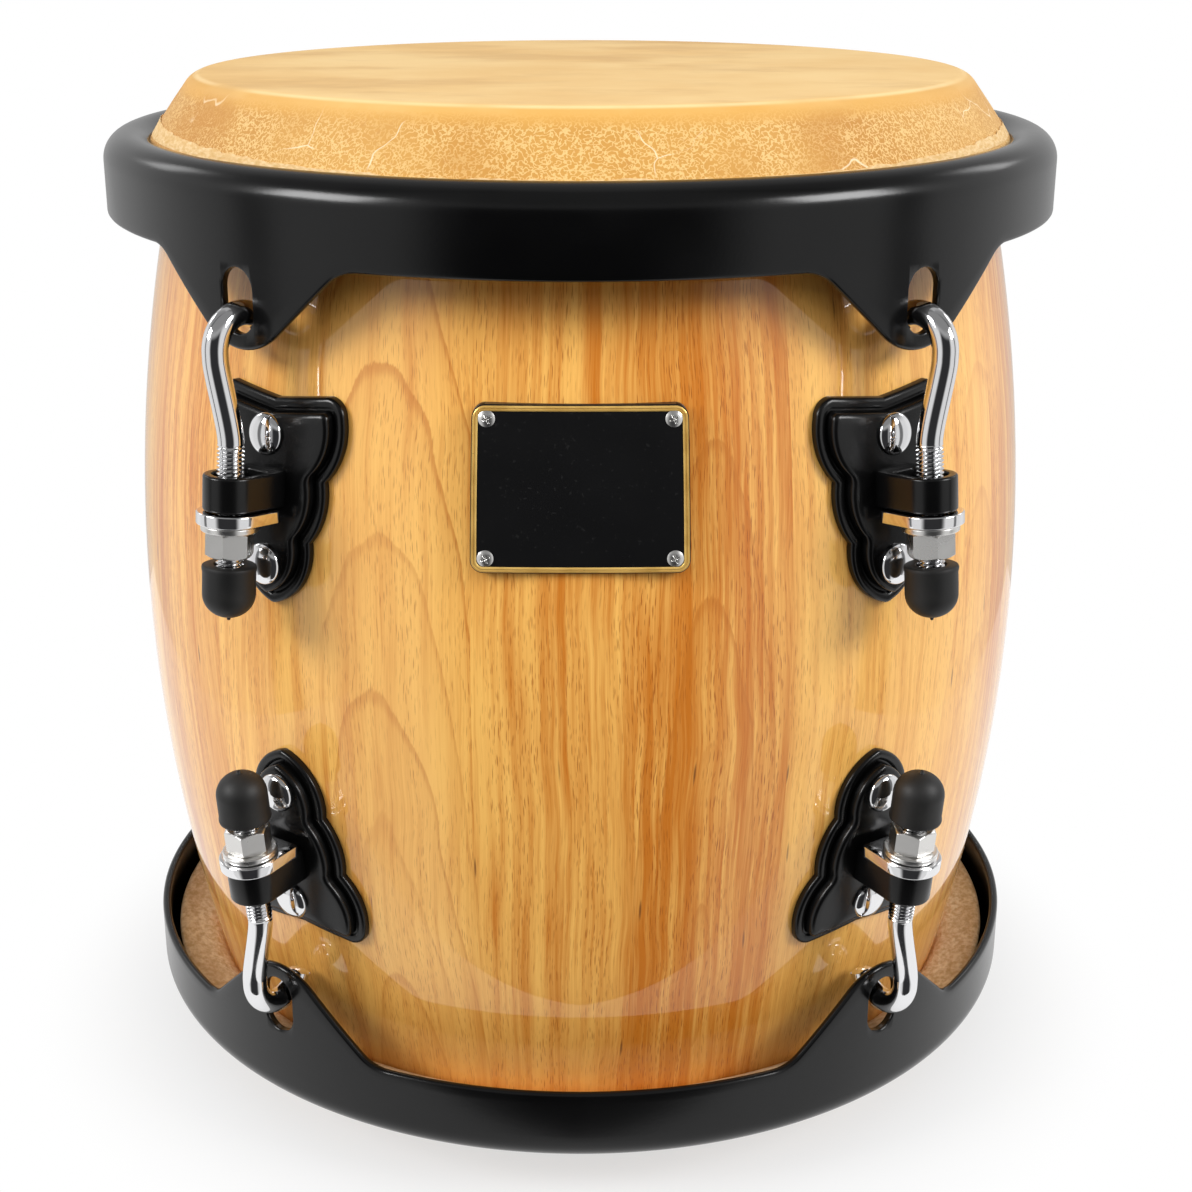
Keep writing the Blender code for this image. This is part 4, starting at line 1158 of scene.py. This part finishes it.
# How far in from the edge, and how high
BADGE_LEVELS = np.array([(0.0, 0.0), (0.0, 0.9), (0.25, 1.15), (2.4, 1.25)]) * MM
BORDER_LEVELS = np.array([(0.4, 0.3), (0.4, 1.4), (0.55, 1.55), (0.95, 1.6), (1.05, 1.42), (1.3, 1.42),
                          (1.4, 1.6), (1.8, 1.55), (2.0, 1.35), (2.0, 0.3)]) * MM


def rounded_box(size, corner):
    """Outline of a rectangle with round corners."""
    x, y = np.asarray(size) / 2 - corner
    corners = ((x, y, 0), (-x, y, 90), (-x, -y, 180), (x, -y, 270))
    return np.vstack([arc((cx, cy), corner, start, start + 90, 12) for cx, cy, start in corners])


def sagitta(across):
    """How far the barrel falls back behind its front, to each side of the middle."""
    return across ** 2 / (2 * barrel_radius(BADGE_MIDDLE))


def badge_rings(levels, fill):
    """Rounded rectangles, each inset and raised as stated, filled to the middle if asked."""
    outlines = [evened(rounded_box(BADGE_SIZE - 2 * inward, max(BADGE_CORNER - inward, 0.6 * MM)), 640)
                for inward, _ in levels]
    flat = np.stack(outlines, 1)
    height = np.array([rise for _, rise in levels])
    if fill:
        shrink = np.linspace(1, 0, 24)
        flat = np.concatenate([flat[:, :1] * shrink[::-1, None], flat, flat[:, -1:] * shrink[:, None]], 1)
        height = np.concatenate([np.full(24, height[0]), height, np.full(24, height[-1])])
    points = on_barrel(flat[..., 0], flat[..., 1], height, BADGE_MIDDLE)
    points[..., 0] += np.where(height > 0, BADGE_FLAT, 0) * sagitta(points[..., 1])
    return grid(points, closed=not fill)


front = station("top", 0)
build("badge_plate", [badge_rings(BADGE_LEVELS, True)], front, ENAMEL, "barrel", "badge")
build("badge_border", [badge_rings(BORDER_LEVELS, False)], front, BRASS, "barrel")


# %% Badge screws
BADGE_SCREW_INSET = 4.4 * MM
CROSS_TURN = 25.0            # degrees that the cross is turned from upright


def badge_screw(across, along):
    """A small round head; the cross is four radial dents: depth falls with the angle from each arm."""
    angle = circle(96)
    radius = np.concatenate([np.linspace(0, 2.35, 18), [2.5, 2.5]]) * MM
    dome = 0.9 * MM * (1 - (radius / (2.9 * MM)) ** 2)
    dome[-1] = -0.6 * MM
    arm = np.abs(np.sin(2 * (angle - np.radians(CROSS_TURN))))[:, None] * radius
    dent = np.clip(1 - arm / (0.55 * MM), 0, 1) * np.clip((1.5 * MM - radius) / (0.3 * MM), 0, 1)
    vertices, quads = grid(polar(radius, angle, dome - 0.55 * MM * dent))
    level = BADGE_MIDDLE + along
    swing = across / barrel_radius(BADGE_MIDDLE)
    side = barrel_radius(level) * np.sin(swing)
    out = barrel_radius(level) * np.cos(swing) + BADGE_FLAT * sagitta(side)
    spot = (shift(out, side, level) @ turn("Z", np.degrees(swing) * (1 - BADGE_FLAT))
            @ turn("Y", 90 - np.degrees(barrel_lean(level))) @ shift(0, 0, GAP + 1.2 * MM))
    return moved(vertices, spot), quads


reach = BADGE_SIZE / 2 - BADGE_SCREW_INSET
screws = [badge_screw(x * reach[0], y * reach[1]) for x in (-1, 1) for y in (-1, 1)]
build("badge_screws", screws, front, NUT_PLATE, "barrel")
print("badge:", BADGE_SIZE / MM, "mm, four screws")

# %% [markdown]
# ## The flesh hoops
# The wire hoops are wholly inside the wrapped hide. Their solids stay as they are and only get
# a plain steel finish.

# %% Flesh hoops
for end in ENDS:
    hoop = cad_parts[end + "_flesh_hoop"]
    hoop.data.materials.clear()
    hoop.data.materials.append(NUT_PLATE)

# %% [markdown]
# ## Floor, light and camera
# The drum stands on a white sweep in soft light. The floor is drawn white where a camera or a
# mirror looks at it, and keeps the drum's shadow. The room in front of the drum is darker than
# the sweep behind it, which gives the chrome its dark streaks.


# %% Floor
FLOOR_OUTLINE = ((0, -0.205), (0.25, -0.23), (0.45, -0.36), (0.45, 0.45), (-0.45, 0.45), (-0.45, -0.36),
                 (-0.25, -0.23))


def floor_white():
    """A pale matte floor that shines by itself for camera and mirror rays, less so near the drum."""
    material, shader, start = finish("floor_white", base_color=rgb(0.6, 0.6, 0.6), roughness=0.9)
    camera, mirror = rays(start)
    seen = (camera + mirror).math("MINIMUM", 1.0)
    _, x, y, _ = place(start)
    away = ((x * x + y * y) ** 0.5).ease(0.14, 0.22)
    glow = start.node("ShaderNodeEmission", {}, {"Color": rgb(1.0, 1.0, 1.0), "Strength": 1.0})
    lit = Wire(material.node_tree, shader.outputs[0])
    blend = start.node("ShaderNodeMixShader", {}, {0: seen * (away * 0.36 + 0.64), 1: lit, 2: glow})
    out = next(node for node in material.node_tree.nodes if node.type == "OUTPUT_MATERIAL")
    material.node_tree.links.new(blend.socket, out.inputs["Surface"])
    return material


floor_mesh = bpy.data.meshes.new("floor")
floor_mesh.from_pydata([(x, y, 0) for x, y in FLOOR_OUTLINE], [], [tuple(range(len(FLOOR_OUTLINE)))])
floor_mesh.materials.append(floor_white())
floor = bpy.data.objects.new("floor", floor_mesh)
bpy.context.scene.collection.objects.link(floor)


# %% Lights
BODY, HEAD = (0, 0, 0.18), (0, 0, 0.3)          # what the lamps face
KEY_SIZE, KEY_POWER = (0.95, 0.75), 36
FILL_SIZE, FILL_POWER = (2.4, 1.5), 15.5
EDGE_SIZE, EDGE_POWER = (0.5, 0.6), 3


def softbox(name, spot, aim, size, power, mirrored=True):
    """A large rectangular lamp that faces a point, with or without a mirror image of itself."""
    lamp = bpy.data.lights.new(name, "AREA")
    lamp.shape = "RECTANGLE"
    lamp.size, lamp.size_y = size
    lamp.energy = power
    holder = bpy.data.objects.new(name, lamp)
    holder.location = spot
    holder.rotation_euler = (Vector(aim) - Vector(spot)).to_track_quat("-Z", "Y").to_euler()
    holder.visible_glossy = mirrored
    bpy.context.scene.collection.objects.link(holder)


softbox("key_left", (-1.86, -0.91, 1.42), BODY, KEY_SIZE, KEY_POWER)
softbox("key_right", (1.86, -0.91, 1.40), BODY, KEY_SIZE, KEY_POWER)
softbox("front_fill", (0, -1.5, 1.5), BODY, FILL_SIZE, FILL_POWER, mirrored=False)
softbox("edge_left", (-1.85, 1.30, 1.5), HEAD, EDGE_SIZE, EDGE_POWER)
softbox("edge_right", (1.85, 1.30, 1.5), HEAD, EDGE_SIZE, EDGE_POWER)


# %% Room
def studio_room(world):
    """Bright walls by direction, dark in front and in a strip to each side; white to the camera."""
    sky = Wire(world.node_tree)
    east, north, up = parts(sky.node("ShaderNodeTexCoord", out="Generated"))
    ahead = north * -1.0 / (east * east + north * north + 0.0001) ** 0.5
    behind, high = ahead * -1.0, up.ease(0.25, 0.70)
    wedge = ahead.ease(0.72, 0.90) * (1.0 - up.ease(0.30, 0.60))
    strip = 1.0 - (ahead - 0.17).math("ABSOLUTE").ease(0.06, 0.12)
    dark = (wedge + strip * 0.8).math("MINIMUM", 1.0)
    bright = high.mix(rgb(0.78, 0.78, 0.78), rgb(0.26, 0.26, 0.26))
    bright = behind.ease(0.55, 0.85).mix(bright, rgb(0.42, 0.42, 0.42))
    walls = dark.mix(bright, rgb(0.03, 0.03, 0.032))
    camera, mirror = rays(sky)
    seen = (camera + mirror * behind.ease(0.1, 0.4) * (0.4 - high * 0.4)).math("MINIMUM", 1.0)
    background = world.node_tree.nodes["Background"]
    world.node_tree.links.new(seen.mix(walls, rgb(1.0, 1.0, 1.0)).socket, background.inputs["Color"])
    background.inputs["Strength"].default_value = 1.0


studio = bpy.data.worlds.new("studio")
studio.use_nodes = True
studio_room(studio)
bpy.context.scene.world = studio
print("light:", len(bpy.data.lights), "lamps in a bright room")

# %% Camera
CAMERA_PLACE = (0, -0.7125, 0.413)
CAMERA_TILT = 70.313         # degrees up from straight down

camera = bpy.data.cameras.new("portrait")
camera.lens = 59.53
camera.sensor_width = 36.0
camera.shift_x = 0.0132
viewer = bpy.data.objects.new("portrait", camera)
viewer.location = CAMERA_PLACE
viewer.rotation_euler = (np.radians(CAMERA_TILT), 0, 0)
bpy.context.scene.collection.objects.link(viewer)
bpy.context.scene.camera = viewer
bpy.context.scene.view_settings.view_transform = "Standard"
